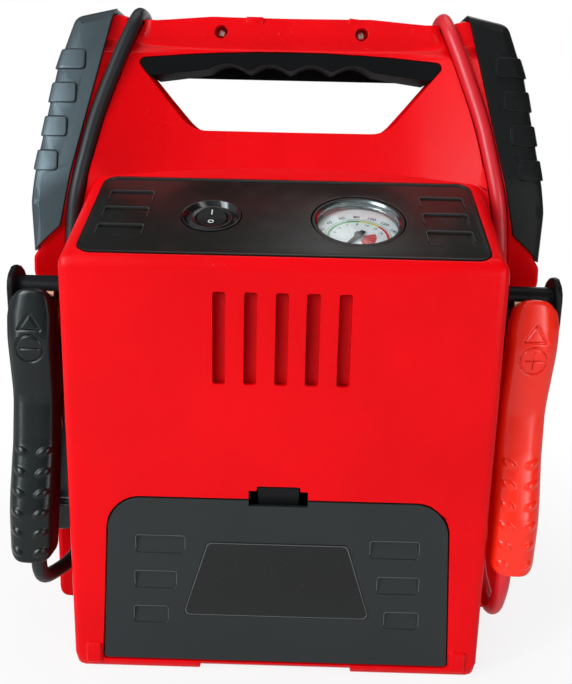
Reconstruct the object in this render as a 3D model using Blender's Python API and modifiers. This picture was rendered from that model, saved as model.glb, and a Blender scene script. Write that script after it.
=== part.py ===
"""Portable jump starter pack with a built-in air compressor.

Metres, +Z up.  X runs across the pack, -Y is the compressor side, +Y the lamp side.
The origin is on the ground, under the middle of the pack.
"""
import math

import bmesh
import bpy
from mathutils import Euler, Matrix, Vector

# ---------------------------------------------------------------- clearances and walls
GAP = 0.0003            # between pieces that touch
WALL = 0.0032           # housing wall
COVER_WALL = 0.003      # compressor cover wall
RIM = 0.0035            # rounding of the housing edges

# ---------------------------------------------------------------- feet and overall depth
FOOT_H = 0.002
BASE = FOOT_H + GAP     # underside of the housings
COVER_FOOT_IN = 0.040   # inner end of the moulded feet under the compressor cover
COVER_FOOT_LONG = 0.052
BOSS_PROUD = 0.0015     # hinge bosses in front of the cover's face
CAP_PROUD = 0.0045      # socket cap in front of the lamp side's face
BODY_BACK = 0.196       # cover's face to the lamp side's face
REAR = BOSS_PROUD - (BOSS_PROUD + BODY_BACK + CAP_PROUD) / 2
FACE = REAR + BODY_BACK

# ---------------------------------------------------------------- main housing
BODY_SET = 0.062        # cover's face to the housing, at the ground
KNEE_SET = 0.069        # the same where the housing starts to lean
TOP_SET = 0.101         # the same at the top
TOP_H = 0.3437
KNEE_H = TOP_H - 0.0907
TOP_DEEP = 0.033        # depth of the housing at the top
LAMP_KNEE_H = 0.180     # where the lamp side starts to lean
LAMP_HIP_H = TOP_H - 0.0477     # where it turns up into the handle
LAMP_HIP_SET = 0.128    # cover's face to the lamp side, there
SPLIT = REAR + 0.122    # parting plane of the two half shells
BASE_HALF = 0.134
BASE_SIDE_H = 0.048     # top of the red base, under the side pads
SIDE_PAD_T = 0.008
SIDE_PAD_H = 0.033
WAIST_HALF = 0.1235
BULGE_HALF = 0.1415
SHOULDER_HALF = 0.1385
ARMOUR_TIP_H = 0.211    # lower tip of the armour on the shoulder
BULGE_H = ARMOUR_TIP_H - 0.013
SHOULDER_H = ARMOUR_TIP_H + 0.027
SHOULDER_TURN_H = TOP_H - 0.0327
SCOOP_R = 0.530         # hollowed faces between the lead grooves
SCOOP_DEEP = 0.0106

# ---------------------------------------------------------------- handle
FLOOR_H = TOP_H - 0.065         # floor of the hand opening
FLOOR_HALF = 0.0546
GRIP_HALF = 0.0872      # half length of the grip where it meets the red arch
GRIP_TOP_H = TOP_H - 0.0261
GRIP_RISE = 0.0106
GRIP_END_R = 0.003
GRIP_DEEP = 0.0096      # height of the grip at its ends
GRIP_ARCH = 0.0044      # rise of its underside to the finger scallops
FINGER_PITCH = 0.0236
FINGER_DEEP = 0.0028
SCREW_X = 0.040
SCREW_H = TOP_H - 0.0097
SCREW_R = 0.0034

# ---------------------------------------------------------------- side armour
ARMOUR_T = 0.0025
ARMOUR_RIM = 0.006
ARMOUR_IN_TOP = 0.0975
ARMOUR_IN_LOW = 0.1240
ARMOUR_LOW_H = ARMOUR_TIP_H + 0.015
RIB_COUNT = 4
RIB_TOP_H = TOP_H - 0.0284
RIB_PITCH = 0.0182
RIB_H = 0.0106
RIB_INSET = 0.0085
RIB_PROUD = 0.001

# ---------------------------------------------------------------- compressor cover and panel
BOX_HALF = 0.1063
BOX_H = 0.2176          # height of the top front edge above the base
BOX_TILT = math.radians(26.9)
BOX_RIM = 0.005
BOX_TOP_WALL = 0.0052
VENT_COUNT = 5
VENT_PITCH = 0.015
VENT_W = 0.006
VENT_LOW, VENT_HIGH = 0.157, 0.2015
PANEL_HALF = 0.0985
PANEL_FROM, PANEL_TO = 0.0037, 0.0775
PANEL_R = 0.007
PANEL_T = 0.0026
PANEL_RIM = 0.0018
DIMPLE_IN, DIMPLE_OUT = 0.0700, 0.0920
DIMPLE_LONG = 0.012
DIMPLE_DEEP = 0.0011
DIMPLE_TOPS = (0.0620, 0.0452, 0.0284)
GAUGE_X, GAUGE_S = 0.0368, 0.0382
GAUGE_R = 0.0239
GAUGE_DEEP = 0.0215
DIAL_DEEP = 0.0062
NEEDLE_OFF = 0.0070     # needle's pivot below the middle of the dial
NEEDLE_LONG = 0.0150
SWITCH_X, SWITCH_S = -0.0374, 0.0392
SWITCH_R = 0.0154
SWITCH_BEZEL_R = 0.0127
ROCKER_R = 0.0077
ROCKER_TILT = math.radians(8)

# ---------------------------------------------------------------- hose compartment
DOOR_LOW, DOOR_TOP = 0.005, 0.0965
DOOR_HALF_LOW, DOOR_HALF_TOP = 0.0902, 0.0853
DOOR_R = 0.018
DOOR_T = 0.0026
DOOR_FIT = 0.0007
HINGE_IN, HINGE_H = 0.0020, 0.0072
HINGE_PIN_R = 0.0014
HINGE_PIN_LONG = 0.0045
BOSS_W, BOSS_H = 0.0085, 0.012
NOTCH_HALF, NOTCH_H = 0.0148, 0.0050
NOTCH_DROP = 0.0030
TAB_HALF, TAB_H = 0.0103, 0.0046
LEAF_BACK = 0.0060      # back of the latch's leaf, behind the cover's face
DOOR_DIMPLES = (0.0760, 0.0560, 0.0360)
TRAY_DEEP = 0.050
TRAY_WALL = 0.002

# ---------------------------------------------------------------- clamps, posts and leads
POST_SET = 0.036        # cover's face to the posts' axis
POST_H = 0.1965
POST_R = 0.006
POST_LONG = 0.0302
PLATE_T = 0.0035
PLATE_R = 0.011
PLATE_DROP = 0.023
PEG_PROUD = 0.002
CLAMP_X = 0.1250
PIVOT_DROP = 0.0545     # pivot below the post
CLAMP_HALF = 0.0112
WAIST_W = 0.0104
HANDLE_LONG = 0.087
LEAD_ENTRY = -0.0209    # lead's bore in the end of the near handle
LEAD_ASIDE = 0.0030     # its distance from the handle's middle, towards the cover
CLAMP_TILT = math.radians(2.5)
CLAMP_LEAN = {"left": math.radians(1.3), "right": math.radians(1.5)}
JAW_HALF = 0.0084
EAR_T = 0.0015
LEAD_R = 0.0039
LEAD_ROOM = 0.0007
LEAD_STEP = 0.0150      # spacing of the points along a lead

# ---------------------------------------------------------------- inside and lamp side
BATTERY = (0.181, 0.077, 0.167)
PLATE_HALF, PLATE_LOW, PLATE_HIGH = 0.080, 0.028, 0.150
SOCKET_X, SOCKET_H, SOCKET_R = -0.045, 0.060, 0.0132
CAP_R = 0.0165
CAP_T = 0.003
CAP_HINGE = 0.0195      # hinge above the middle of the socket
BUTTON_X, BUTTON_H, BUTTON_R = 0.050, 0.092, 0.0045
KEY_X, KEY_H, KEY_HALF_W, KEY_HALF_H = -0.045, 0.122, 0.0062, 0.0095
LAMP_H = LAMP_KNEE_H + 0.042
LAMP_HALF_W, LAMP_HALF_H = 0.060, 0.0215


# ================================================================ tools
def clear_scene():
    for obj in list(bpy.data.objects):
        bpy.data.objects.remove(obj, do_unlink=True)


def collection(name):
    made = bpy.data.collections.new(name)
    bpy.context.scene.collection.children.link(made)
    return made


clear_scene()
PARTS = collection("jump_starter_pack")
CUTTERS = collection("cutters")


def material(name, colour, roughness, metallic=0.0, alpha=1.0):
    mat = bpy.data.materials.new(name)
    mat.use_nodes = True
    shader = mat.node_tree.nodes["Principled BSDF"]
    shader.inputs["Base Color"].default_value = (*colour, 1.0)
    shader.inputs["Roughness"].default_value = roughness
    shader.inputs["Metallic"].default_value = metallic
    shader.inputs["Alpha"].default_value = alpha
    return mat


RED = material("red_housing", (0.75, 0.008, 0.012), 0.35)
BLACK = material("black_plastic", (0.02, 0.021, 0.023), 0.4)
GREY = material("grey_plastic", (0.04, 0.043, 0.043), 0.4)
RUBBER = material("black_rubber", (0.015, 0.015, 0.016), 0.8)
SKIN = material("textured_black", (0.03, 0.032, 0.036), 0.5)
RED_LEAD = material("red_lead", (0.7, 0.01, 0.015), 0.45)
RED_CLAMP = material("red_clamp", (0.8, 0.015, 0.01), 0.3)
STEEL = material("steel", (0.6, 0.6, 0.62), 0.3, 1.0)
COPPER = material("copper", (0.8, 0.4, 0.25), 0.35, 1.0)
CHROME = material("chrome", (0.8, 0.8, 0.82), 0.1, 1.0)
WHITE = material("white", (0.8, 0.8, 0.78), 0.5)
GLASS = material("clear", (0.9, 0.95, 0.95), 0.05, 0.0, 0.3)
GREEN = material("circuit_board", (0.02, 0.15, 0.05), 0.5)


def mesh_object(name, mesh, finish=None):
    """A part if it has a finish, else a cutter."""
    obj = bpy.data.objects.new(name, mesh)
    if finish is None:
        CUTTERS.objects.link(obj)
        obj.hide_render = True
        obj.display_type = 'WIRE'
    else:
        PARTS.objects.link(obj)
        obj.data.materials.append(finish)
    return obj


def baked(name, curve, finish=None, matrix=None):
    """A closed mesh object made from a curve, whose caps are welded."""
    bpy.context.view_layer.update()
    graph = bpy.context.evaluated_depsgraph_get()
    mesh = bpy.data.meshes.new_from_object(curve.evaluated_get(graph))
    bpy.data.objects.remove(curve, do_unlink=True)
    edit = bmesh.new()
    edit.from_mesh(mesh)
    bmesh.ops.remove_doubles(edit, verts=edit.verts, dist=0.00001)
    bmesh.ops.recalc_face_normals(edit, faces=edit.faces)
    edit.to_mesh(mesh)
    edit.free()
    mesh.materials.clear()
    obj = mesh_object(name, mesh, finish)
    if matrix is not None:
        obj.matrix_world = matrix
    return obj


def rounded(corners, step=math.radians(22.5)):
    """Closed outline through corners (u, v) or (u, v, radius), with an arc at each radius."""
    points = []
    count = len(corners)
    for index, corner in enumerate(corners):
        here = Vector(corner[:2])
        radius = corner[2] if len(corner) > 2 else 0.0
        to_last = (Vector(corners[index - 1][:2]) - here)
        to_next = (Vector(corners[(index + 1) % count][:2]) - here)
        turn = to_last.angle_signed(to_next)
        bend = math.pi - abs(turn)
        if radius <= 0.0 or bend < 0.001:
            points.append(here)
            continue
        reach = radius * math.tan(bend / 2)
        start = here + to_last.normalized() * reach
        middle = (to_last.normalized() + to_next.normalized()).normalized()
        centre = here + middle * (radius / math.cos(bend / 2))
        steps = max(2, math.ceil(bend / step), math.ceil(radius * bend / 0.022))
        sign = 1.0 if turn > 0 else -1.0
        for i in range(steps + 1):
            arm = start - centre
            arm.rotate(Matrix.Rotation(sign * bend * i / steps, 2))
            points.append(centre + arm)
    return [(p.x, p.y) for p in points]


def mirrored(half):
    """Full outline from the corners of its right half, which run bottom to top."""
    return list(half) + [(-c[0], *c[1:]) for c in reversed(half) if abs(c[0]) > 1e-9]


def box_outline(u0, u1, v0, v1, radius=0.0):
    return [(u0, v0, radius), (u1, v0, radius), (u1, v1, radius), (u0, v1, radius)]


def prism(name, loops, depth, matrix, finish=None):
    """Flat outline with holes, of even depth, centred on its own plane."""
    data = bpy.data.curves.new(name + "_outline", 'CURVE')
    data.dimensions = '2D'
    data.fill_mode = 'BOTH'
    data.extrude = depth / 2
    for loop in loops:
        points = rounded(loop)
        spline = data.splines.new('POLY')
        spline.points.add(len(points) - 1)
        for point, (u, v) in zip(spline.points, points):
            point.co = (u, v, 0.0, 1.0)
        spline.use_cyclic_u = True
    curve = bpy.data.objects.new(name + "_curve", data)
    bpy.context.scene.collection.objects.link(curve)
    made = baked(name, curve, finish, matrix)
    made.data.shade_flat()
    return made


def upright(y_from, y_to):
    """Plane of an X, Z outline that is extruded from y_from to y_to: matrix and depth."""
    place = Matrix.Translation((0, (y_from + y_to) / 2, 0)) @ Matrix.Rotation(math.pi / 2, 4, 'X')
    return y_to - y_from, place


def sideways(x_from, x_to):
    """Plane of a Y, Z outline that is extruded from x_from to x_to: matrix and depth."""
    turn = Matrix.Rotation(math.pi / 2, 4, 'Z') @ Matrix.Rotation(math.pi / 2, 4, 'X')
    return x_to - x_from, Matrix.Translation(((x_from + x_to) / 2, 0, 0)) @ turn


def slab(name, loops, ends, plane, finish=None):
    """Prism of an outline between two ends along Y (upright) or X (sideways)."""
    depth, place = plane(*ends)
    return prism(name, loops, depth, place, finish)


def block(name, low, high, finish=None):
    """Box between two corners."""
    bpy.ops.mesh.primitive_cube_add(size=1.0)
    obj = bpy.context.active_object
    size = [b - a for a, b in zip(low, high)]
    obj.data.transform(Matrix.Diagonal((*size, 1.0)))
    mesh = obj.data
    bpy.data.objects.remove(obj, do_unlink=True)
    made = mesh_object(name, mesh, finish)
    made.location = [(a + b) / 2 for a, b in zip(low, high)]
    return made


def rod(name, radius, start, end, finish=None, sides=24):
    """Cylinder between two points."""
    start, end = Vector(start), Vector(end)
    mesh = bpy.data.meshes.new(name)
    edit = bmesh.new()
    bmesh.ops.create_cone(edit, cap_ends=True, segments=sides, radius1=radius, radius2=radius,
                          depth=(end - start).length)
    edit.to_mesh(mesh)
    edit.free()
    made = mesh_object(name, mesh, finish)
    made.location = (start + end) / 2
    made.rotation_euler = (end - start).to_track_quat('Z', 'Y').to_euler()
    smooth(made)
    return made


def turned(name, profile, finish=None, steps=28, ring=False):
    """Turned piece: a profile of (radius, height), from the top down its outer side."""
    mesh = bpy.data.meshes.new(name)
    edges = [(i, i + 1) for i in range(len(profile) - 1)]
    if ring:
        edges.append((len(profile) - 1, 0))
    mesh.from_pydata([(r, 0.0, z) for r, z in profile], edges, [])
    made = mesh_object(name, mesh, finish)
    screw = made.modifiers.new("turn", 'SCREW')
    screw.steps = screw.render_steps = steps
    screw.use_merge_vertices = True
    screw.merge_threshold = 0.00001
    return made


def smooth(obj, angle=35):
    for face in obj.data.polygons:
        face.use_smooth = True
    obj.data.set_sharp_from_angle(angle=math.radians(angle))


def boolean(obj, other, operation):
    step = obj.modifiers.new(operation.lower(), 'BOOLEAN')
    step.operation = operation
    step.solver = 'EXACT'
    step.object = other
    return obj


def cut(obj, *cutters):
    for cutter in cutters:
        boolean(obj, cutter, 'DIFFERENCE')
    return obj


def keep(obj, other):
    return boolean(obj, other, 'INTERSECT')


def join(obj, *others):
    for other in others:
        boolean(obj, other, 'UNION')
    return obj


def bevel(obj, width, segments=2, angle=40):
    step = obj.modifiers.new("round", 'BEVEL')
    step.width = width
    step.segments = segments
    step.limit_method = 'ANGLE'
    step.angle_limit = math.radians(angle)
    step.use_clamp_overlap = False
    return obj


def frame(name, location, rotation=(0, 0, 0)):
    """Empty that carries pieces built in its own axes."""
    empty = bpy.data.objects.new(name, None)
    PARTS.objects.link(empty)
    empty.location = location
    empty.rotation_euler = rotation
    return empty


def carry(empty, *objects):
    for obj in objects:
        obj.parent = empty
    return objects[0]


# ================================================================ housing forms
def rear_y(height):
    """Depth of the compressor side's face at a height above the base."""
    if height <= KNEE_H:
        return REAR + BODY_SET + (KNEE_SET - BODY_SET) * height / KNEE_H
    return REAR + KNEE_SET + (TOP_SET - KNEE_SET) * (height - KNEE_H) / (TOP_H - KNEE_H)


def front_y(height):
    """Depth of the lamp side's face at a height above the base."""
    if height <= LAMP_KNEE_H:
        return FACE
    hip = REAR + LAMP_HIP_SET
    if height <= LAMP_HIP_H:
        return FACE - (FACE - hip) * (height - LAMP_KNEE_H) / (LAMP_HIP_H - LAMP_KNEE_H)
    return hip + (TOP_SET + TOP_DEEP - LAMP_HIP_SET) * (height - LAMP_HIP_H) / (TOP_H - LAMP_HIP_H)


REAR_LEAN = math.atan((TOP_SET - KNEE_SET) / (TOP_H - KNEE_H))
LAMP_LEAN = math.atan((FACE - front_y(LAMP_HIP_H)) / (LAMP_HIP_H - LAMP_KNEE_H))


def side_profile(grow=0.0):
    """Y, Z section through the housing, grown by a distance."""
    over = 0.010
    top = TOP_H + over
    return [(rear_y(0.0) - grow, BASE - grow),
            (FACE + grow, BASE - grow),
            (FACE + grow, BASE + LAMP_KNEE_H, 0.040),
            (front_y(LAMP_HIP_H) + grow, BASE + LAMP_HIP_H, 0.030),
            (front_y(top) + grow, BASE + top + grow),
            (rear_y(top) - grow, BASE + top + grow),
            (rear_y(KNEE_H) - grow, BASE + KNEE_H, 0.040)]


def shoulder(grow=0.0):
    """Right shoulder's corners (x, z), from the armour's seat up to the lip beside the lead."""
    return [(SHOULDER_HALF - 0.0007 + grow, BASE + ARMOUR_TIP_H + 0.002),
            (SHOULDER_HALF + grow, BASE + SHOULDER_H, 0.030),
            (0.1268 + grow, BASE + SHOULDER_TURN_H, 0.030),
            (0.1182 + grow, BASE + TOP_H - 0.0072 + grow, 0.0065),
            (ARMOUR_IN_TOP, BASE + TOP_H - 0.002 + grow, 0.0065)]


def body_outline():
    """X, Z outline of both half shells."""
    seat = BASE_HALF - SIDE_PAD_T
    half = [(BASE_HALF, BASE, 0.006),
            (BASE_HALF, BASE + BASE_SIDE_H),
            (seat, BASE + BASE_SIDE_H),
            (seat, BASE + BASE_SIDE_H + SIDE_PAD_H),
            (WAIST_HALF, BASE + BASE_SIDE_H + SIDE_PAD_H + 0.011),
            (WAIST_HALF, BASE + BULGE_H - 0.028),
            (BULGE_HALF, BASE + BULGE_H, 0.008),
            (BULGE_HALF - 0.0003, BASE + ARMOUR_TIP_H - 0.003, 0.004),
            *shoulder(),
            (0.0885, BASE + TOP_H - 0.0045, 0.006),
            (0.0760, BASE + TOP_H - 0.0045, 0.010),
            (0.0450, BASE + TOP_H - 0.0012, 0.040)]
    return mirrored(half)


def opening_outline():
    """X, Z outline of the hand opening together with the seat of the grip."""
    half = [(FLOOR_HALF, BASE + FLOOR_H, 0.019),
            (GRIP_HALF, BASE + GRIP_TOP_H, GRIP_END_R)]
    peak = (0.0, BASE + GRIP_TOP_H + GRIP_RISE, GRIP_HALF ** 2 / GRIP_RISE * 0.90)
    return [*half, peak, *[(-c[0], *c[1:]) for c in reversed(half)]]


def scoop(name, shift=0.0):
    """Wide cylinder that hollows the compressor side's leaning face."""
    lean = REAR_LEAN
    along = Vector((0, math.sin(lean), math.cos(lean)))
    out = Vector((0, -math.cos(lean), math.sin(lean)))
    foot = Vector((0, rear_y(KNEE_H), BASE + KNEE_H))
    centre = foot + out * (SCOOP_R - SCOOP_DEEP + shift)
    return rod(name, SCOOP_R, centre - along * 0.1, centre + along * 0.2, sides=96)


def shoulder_form(name, side, grow, rim):
    """One shoulder of the housing, grown: the armour's outer or inner shape."""
    points = [(side * x, z, *rest) for x, z, *rest in shoulder(grow)]
    low = BASE + LAMP_KNEE_H - 0.030
    inner = 0.05
    loop = [(side * inner, low), (points[0][0], low), *points,
            (side * inner, points[-1][1])]
    form = slab(name, [loop], (REAR, FACE + 0.02), upright)
    keep(form, slab(name + "_profile", [side_profile(grow)], (-0.2, 0.2), sideways))
    return bevel(form, rim)


def cavity():
    """Y, Z section of the room inside the two half shells, which the battery fills."""
    return [(rear_y(0.0) + WALL, BASE + WALL, 0.004),
            (FACE - WALL - 0.0013, BASE + WALL, 0.004),
            (FACE - WALL - 0.0013, BASE + LAMP_KNEE_H - 0.040),
            (REAR + LAMP_HIP_SET + 0.042, BASE + LAMP_KNEE_H + 0.020),
            (REAR + LAMP_HIP_SET + 0.012, BASE + FLOOR_H - 0.0167, 0.005),
            (REAR + KNEE_SET + 0.024, BASE + FLOOR_H - 0.0167, 0.005),
            (rear_y(0.0) + WALL + 0.006, BASE + KNEE_H - 0.038)]


# ================================================================ leads
def lead_route(side):
    """Chosen points of a lead, from its gland up the lamp side, over the top and down to its clamp."""
    hold = [(0.1170, FACE, 0.092), (0.1170, FACE, 0.110), (0.1168, FACE, 0.140),
            (0.1160, FACE - 0.0012, 0.170),
            (0.1128, front_y(0.200), 0.200), (0.1078, front_y(0.232), 0.232),
            (0.1020, front_y(0.265), 0.265), (0.0955, front_y(0.298), 0.298),
            (0.0905, front_y(0.322), 0.322), (0.0876, front_y(0.335) - 0.0020, 0.3360),
            (0.0865, REAR + 0.1265, 0.3420), (0.0862, REAR + 0.1180, 0.3430),
            (0.0864, REAR + 0.1075, 0.3418), (0.0882, rear_y(0.3350) + 0.0012, 0.3350),
            (0.0932, rear_y(0.322), 0.322),
            (0.1003, rear_y(0.302), 0.302), (0.1060, rear_y(0.284), 0.284),
            (0.1106, rear_y(0.264) + 0.0003, 0.264), (0.1145, rear_y(0.246), 0.246),
            (0.1172, rear_y(0.228), 0.228), (0.1185, rear_y(0.205), 0.205),
            (0.1185, rear_y(0.150), 0.150), (0.1185, rear_y(0.100) + 0.0010, 0.100),
            (0.1185, rear_y(0.070) + 0.0020, 0.070)]
    loops = {
        "left": [(0.1185, REAR + 0.0628, 0.0550), (0.1172, REAR + 0.0565, 0.0455),
                 (0.1165, REAR + 0.0460, 0.0412), (0.1185, REAR + 0.0340, 0.0402),
                 (0.1232, REAR + 0.0220, 0.0405), (0.1250, REAR + 0.0135, 0.0440)],
        "right": [(0.1184, REAR + 0.0625, 0.0470), (0.1186, REAR + 0.0540, 0.0310),
                  (0.1188, REAR + 0.0400, 0.0245), (0.1186, REAR + 0.0280, 0.0240),
                  (0.1183, REAR + 0.0180, 0.0310), (0.1182, REAR + 0.0115, 0.0430)]}
    sign = -1.0 if side == "left" else 1.0
    route = [Vector((sign * x, y, BASE + z)) for x, y, z in hold + loops[side]]
    handle = clamp_matrix(side)
    ends = [(-sign * LEAD_ASIDE, LEAD_ENTRY, -HANDLE_LONG + up) for up in (-0.004, 0.006)]
    return route + [handle @ Vector(end) for end in ends]


def smooth_route(points, spacing):
    """Points read at an even spacing from a smooth curve through the route's points."""
    fine = []
    ends = [points[0] * 2 - points[1], *points, points[-1] * 2 - points[-2]]
    for i in range(len(points) - 1):
        a, b, c, d = ends[i:i + 4]
        for k in range(12):
            t = k / 12
            fine.append(0.5 * (b * 2 + (c - a) * t + (a * 2 - b * 5 + c * 4 - d) * t ** 2
                               + (b * 3 - a - c * 3 + d) * t ** 3))
    fine.append(points[-1])
    length = sum((q - p).length for p, q in zip(fine, fine[1:]))
    count = max(2, round(length / spacing))
    picked, run, want = [fine[0]], 0.0, length / count
    for p, q in zip(fine, fine[1:]):
        step = (q - p).length
        while run + step >= want - 1e-9 and len(picked) < count:
            picked.append(p.lerp(q, (want - run) / step))
            want += length / count
        run += step
    return [*picked, fine[-1]] if len(picked) <= count else picked


def tube(name, points, radius, finish=None, fine=2):
    """Round tube through points, with closed ends."""
    data = bpy.data.curves.new(name + "_path", 'CURVE')
    data.dimensions = '3D'
    data.bevel_depth = radius
    data.bevel_resolution = fine
    data.use_fill_caps = True
    spline = data.splines.new('POLY')
    spline.points.add(len(points) - 1)
    for point, place in zip(spline.points, points):
        point.co = (*place, 1.0)
    curve = bpy.data.objects.new(name + "_curve", data)
    bpy.context.scene.collection.objects.link(curve)
    return baked(name, curve, finish)


def lead_points(side):
    """Points of a lead; the last stretch lies straight in the handle's bore."""
    route = lead_route(side)
    return [*smooth_route(route[:-1], LEAD_STEP), route[-1]]


def make_lead(side):
    finish = RUBBER if side == "left" else RED_LEAD
    name = "black_lead" if side == "left" else "red_lead"
    obj = tube(name, lead_points(side), LEAD_R, finish)
    smooth(obj, 50)


def lead_groove(side):
    """Cutter for the channel that holds a lead round both half shells."""
    points = lead_points(side)
    held = sum(1 for p in points if p.y > REAR + BODY_SET - 0.0055)
    return tube("groove_" + side, points[:held + 1], LEAD_R + LEAD_ROOM)


# ================================================================ housings
def half_shell(name, grooves):
    """Red form of the whole housing, before the other half is cut away."""
    shell = slab(name, [body_outline(), opening_outline()], (REAR + 0.04, FACE + 0.02),
                 upright, RED)
    keep(shell, BODY_PROFILE)
    bevel(shell, RIM)
    cut(shell, CAVITY, *grooves)
    return shell


def make_rear_housing(grooves):
    shell = half_shell("rear_housing", grooves)
    cut(shell, block("lamp_half", (-0.2, SPLIT, -0.05), (0.2, FACE + 0.1, 0.5)), REAR_SCOOP)
    for side in (-1, 1):
        x, y, z = side * SCREW_X, rear_y(SCREW_H), BASE + SCREW_H
        cut(shell, rod(f"screw_well_{side}", SCREW_R + GAP, (x, y - 0.01, z),
                       (x, y + 0.0175, z), sides=20))
    wire_h = BASE + KNEE_H - 0.048
    wire_hole = rod("wire_hole", 0.006, (0.03, REAR + BODY_SET - 0.012, wire_h),
                    (0.03, REAR + BODY_SET + 0.028, wire_h), sides=16)
    return cut(shell, wire_hole)


def make_front_housing(grooves):
    shell = half_shell("front_housing", grooves)
    cut(shell, block("rear_half", (-0.2, REAR - 0.1, -0.05), (0.2, SPLIT + GAP, 0.5)))
    seat = box_outline(-PLATE_HALF - GAP, PLATE_HALF + GAP, BASE + PLATE_LOW - GAP,
                       BASE + PLATE_HIGH + GAP, 0.010)
    window = box_outline(-PLATE_HALF + 0.004, PLATE_HALF - 0.004, BASE + PLATE_LOW + 0.004,
                         BASE + PLATE_HIGH - 0.004, 0.006)
    cut(shell, slab("plate_seat", [seat], (FACE - PANEL_T, FACE + 0.01), upright),
        slab("plate_window", [window], (FACE - 0.02, FACE + 0.01), upright))
    for side in ("left", "right"):
        cut(shell, gland_pocket(side))
    lens = box_outline(-LAMP_HALF_W - 0.003, LAMP_HALF_W + 0.003, -LAMP_HALF_H - 0.003,
                       LAMP_HALF_H + 0.003, 0.008)
    bowl = box_outline(-LAMP_HALF_W, LAMP_HALF_W, -LAMP_HALF_H, LAMP_HALF_H, 0.006)
    pocket = prism("lens_pocket", [lens], 0.020, Matrix.Translation((0, 0, -0.0130 + 0.010)))
    room = prism("bowl_room", [bowl], 0.040, Matrix.Translation((0, 0, -0.018)))
    carry(LAMP_FRAME, pocket, room)
    return cut(shell, pocket, room)


def make_grip():
    """Finger grip that closes the handle's arch from below."""
    low = GRIP_TOP_H - GRIP_DEEP
    slant = (GRIP_TOP_H - low) / math.tan(math.atan2(GRIP_TOP_H - FLOOR_H, GRIP_HALF - FLOOR_HALF))
    rise = GRIP_RISE
    scallops = []
    for i in range(-2, 2):
        middle = (i + 0.5) * FINGER_PITCH
        edge = middle - FINGER_PITCH / 2
        scallops += [(edge, BASE + low + GRIP_ARCH, 0.0035),
                     (middle, BASE + low + GRIP_ARCH + 2 * FINGER_DEEP, FINGER_PITCH * 0.62)]
    scallops.append((2 * FINGER_PITCH, BASE + low + GRIP_ARCH, 0.0035))
    ends = GRIP_HALF - GAP * 1.6
    loop = [(-ends + slant, BASE + low, 0.002), *scallops,
            (ends - slant, BASE + low, 0.002),
            (ends, BASE + GRIP_TOP_H - GAP, GRIP_END_R),
            (0.0, BASE + GRIP_TOP_H + rise - GAP, GRIP_HALF ** 2 / rise * 0.90),
            (-ends, BASE + GRIP_TOP_H - GAP, GRIP_END_R)]
    grip = slab("handle_grip", [loop], (REAR + 0.06, FACE), upright, BLACK)
    keep(grip, BODY_PROFILE)
    bevel(grip, 0.0025, 2)
    return cut(grip, REAR_SCOOP)


def make_handle_screws():
    """Pan-head screws at the bottom of their wells."""
    for side, word in ((-1, "left"), (1, "right")):
        place = (side * SCREW_X, rear_y(SCREW_H) + 0.0165, BASE + SCREW_H)
        screw = turned("handle_screw_" + word,
                       [(0.0, 0.0018), (0.0018, 0.0015), (0.0030, 0.0006), (0.0032, 0.0), (0.0, 0.0)],
                       STEEL, 20)
        screw.location = place
        screw.rotation_euler = (math.pi / 2, 0, 0)


# ================================================================ armour and side pads
def armour_region(side):
    """X, Z outline that the armour covers, open past the shoulder's silhouette."""
    far = side * 0.160
    return [(side * ARMOUR_IN_LOW, BASE + ARMOUR_LOW_H, 0.001),
            (side * (SHOULDER_HALF + 0.002), BASE + ARMOUR_TIP_H),
            (far, BASE + ARMOUR_TIP_H - 0.01), (far, BASE + TOP_H + 0.0163),
            (side * (ARMOUR_IN_TOP - 0.003), BASE + TOP_H + 0.0163)]


def armour_inner_x(height):
    share = (height - ARMOUR_LOW_H) / (TOP_H + 0.0013 - ARMOUR_LOW_H)
    return ARMOUR_IN_LOW + (ARMOUR_IN_TOP - ARMOUR_IN_LOW) * share


def make_armour(side, word):
    grown = ARMOUR_T + GAP
    armour = slab("armour_" + word, [armour_region(side)], (REAR, FACE + 0.03), upright, SKIN)
    keep(armour, shoulder_form("armour_form_" + word, side, grown, ARMOUR_RIM))
    ribs = []
    for i in range(RIB_COUNT):
        middle = RIB_TOP_H - i * RIB_PITCH
        inner = armour_inner_x(middle) + RIB_INSET
        loop = [(side * inner, BASE + middle - RIB_H / 2, 0.002), (side * 0.17, BASE + middle - RIB_H / 2),
                (side * 0.17, BASE + middle + RIB_H / 2), (side * inner, BASE + middle + RIB_H / 2, 0.002)]
        rib = slab(f"rib_{word}_{i}", [loop], (REAR, FACE + 0.03), upright)
        keep(rib, shoulder_form(f"rib_form_{word}_{i}", side, grown + RIB_PROUD, ARMOUR_RIM))
        ribs.append(rib)
    join(armour, *ribs)
    return cut(armour, shoulder_form("armour_core_" + word, side, GAP, RIM))


def make_side_pad(side, word):
    low, high = BASE + BASE_SIDE_H + GAP, BASE + BASE_SIDE_H + SIDE_PAD_H
    inner, outer = BASE_HALF - SIDE_PAD_T + GAP, BASE_HALF - 0.0008
    loop = [(side * inner, low, 0.0045), (side * outer, low), (side * outer, high - 0.005, 0.004),
            (side * inner, high - 0.001)]
    pad = slab("side_pad_" + word, [loop], (REAR + 0.05, FACE + 0.02), upright, SKIN)
    keep(pad, BODY_PROFILE)
    return bevel(pad, 0.0012, 2, 60)


# ================================================================ compressor cover
def slope_point(s, x=0.0, up=0.0):
    """World point on the sloping top: s up the slope from the front edge, up along its normal."""
    return Vector((x, REAR + s * math.cos(BOX_TILT) - up * math.sin(BOX_TILT),
                   BASE + BOX_H + s * math.sin(BOX_TILT) + up * math.cos(BOX_TILT)))


def in_slope(name, loop, low, high, finish=None):
    """Prism on the sloping top, between two levels along its normal."""
    obj = prism(name, loop if isinstance(loop[0][0], tuple) else [loop], high - low,
                Matrix.Translation((0, 0, (low + high) / 2)), finish)
    carry(PANEL_FRAME, obj)
    return obj


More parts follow.
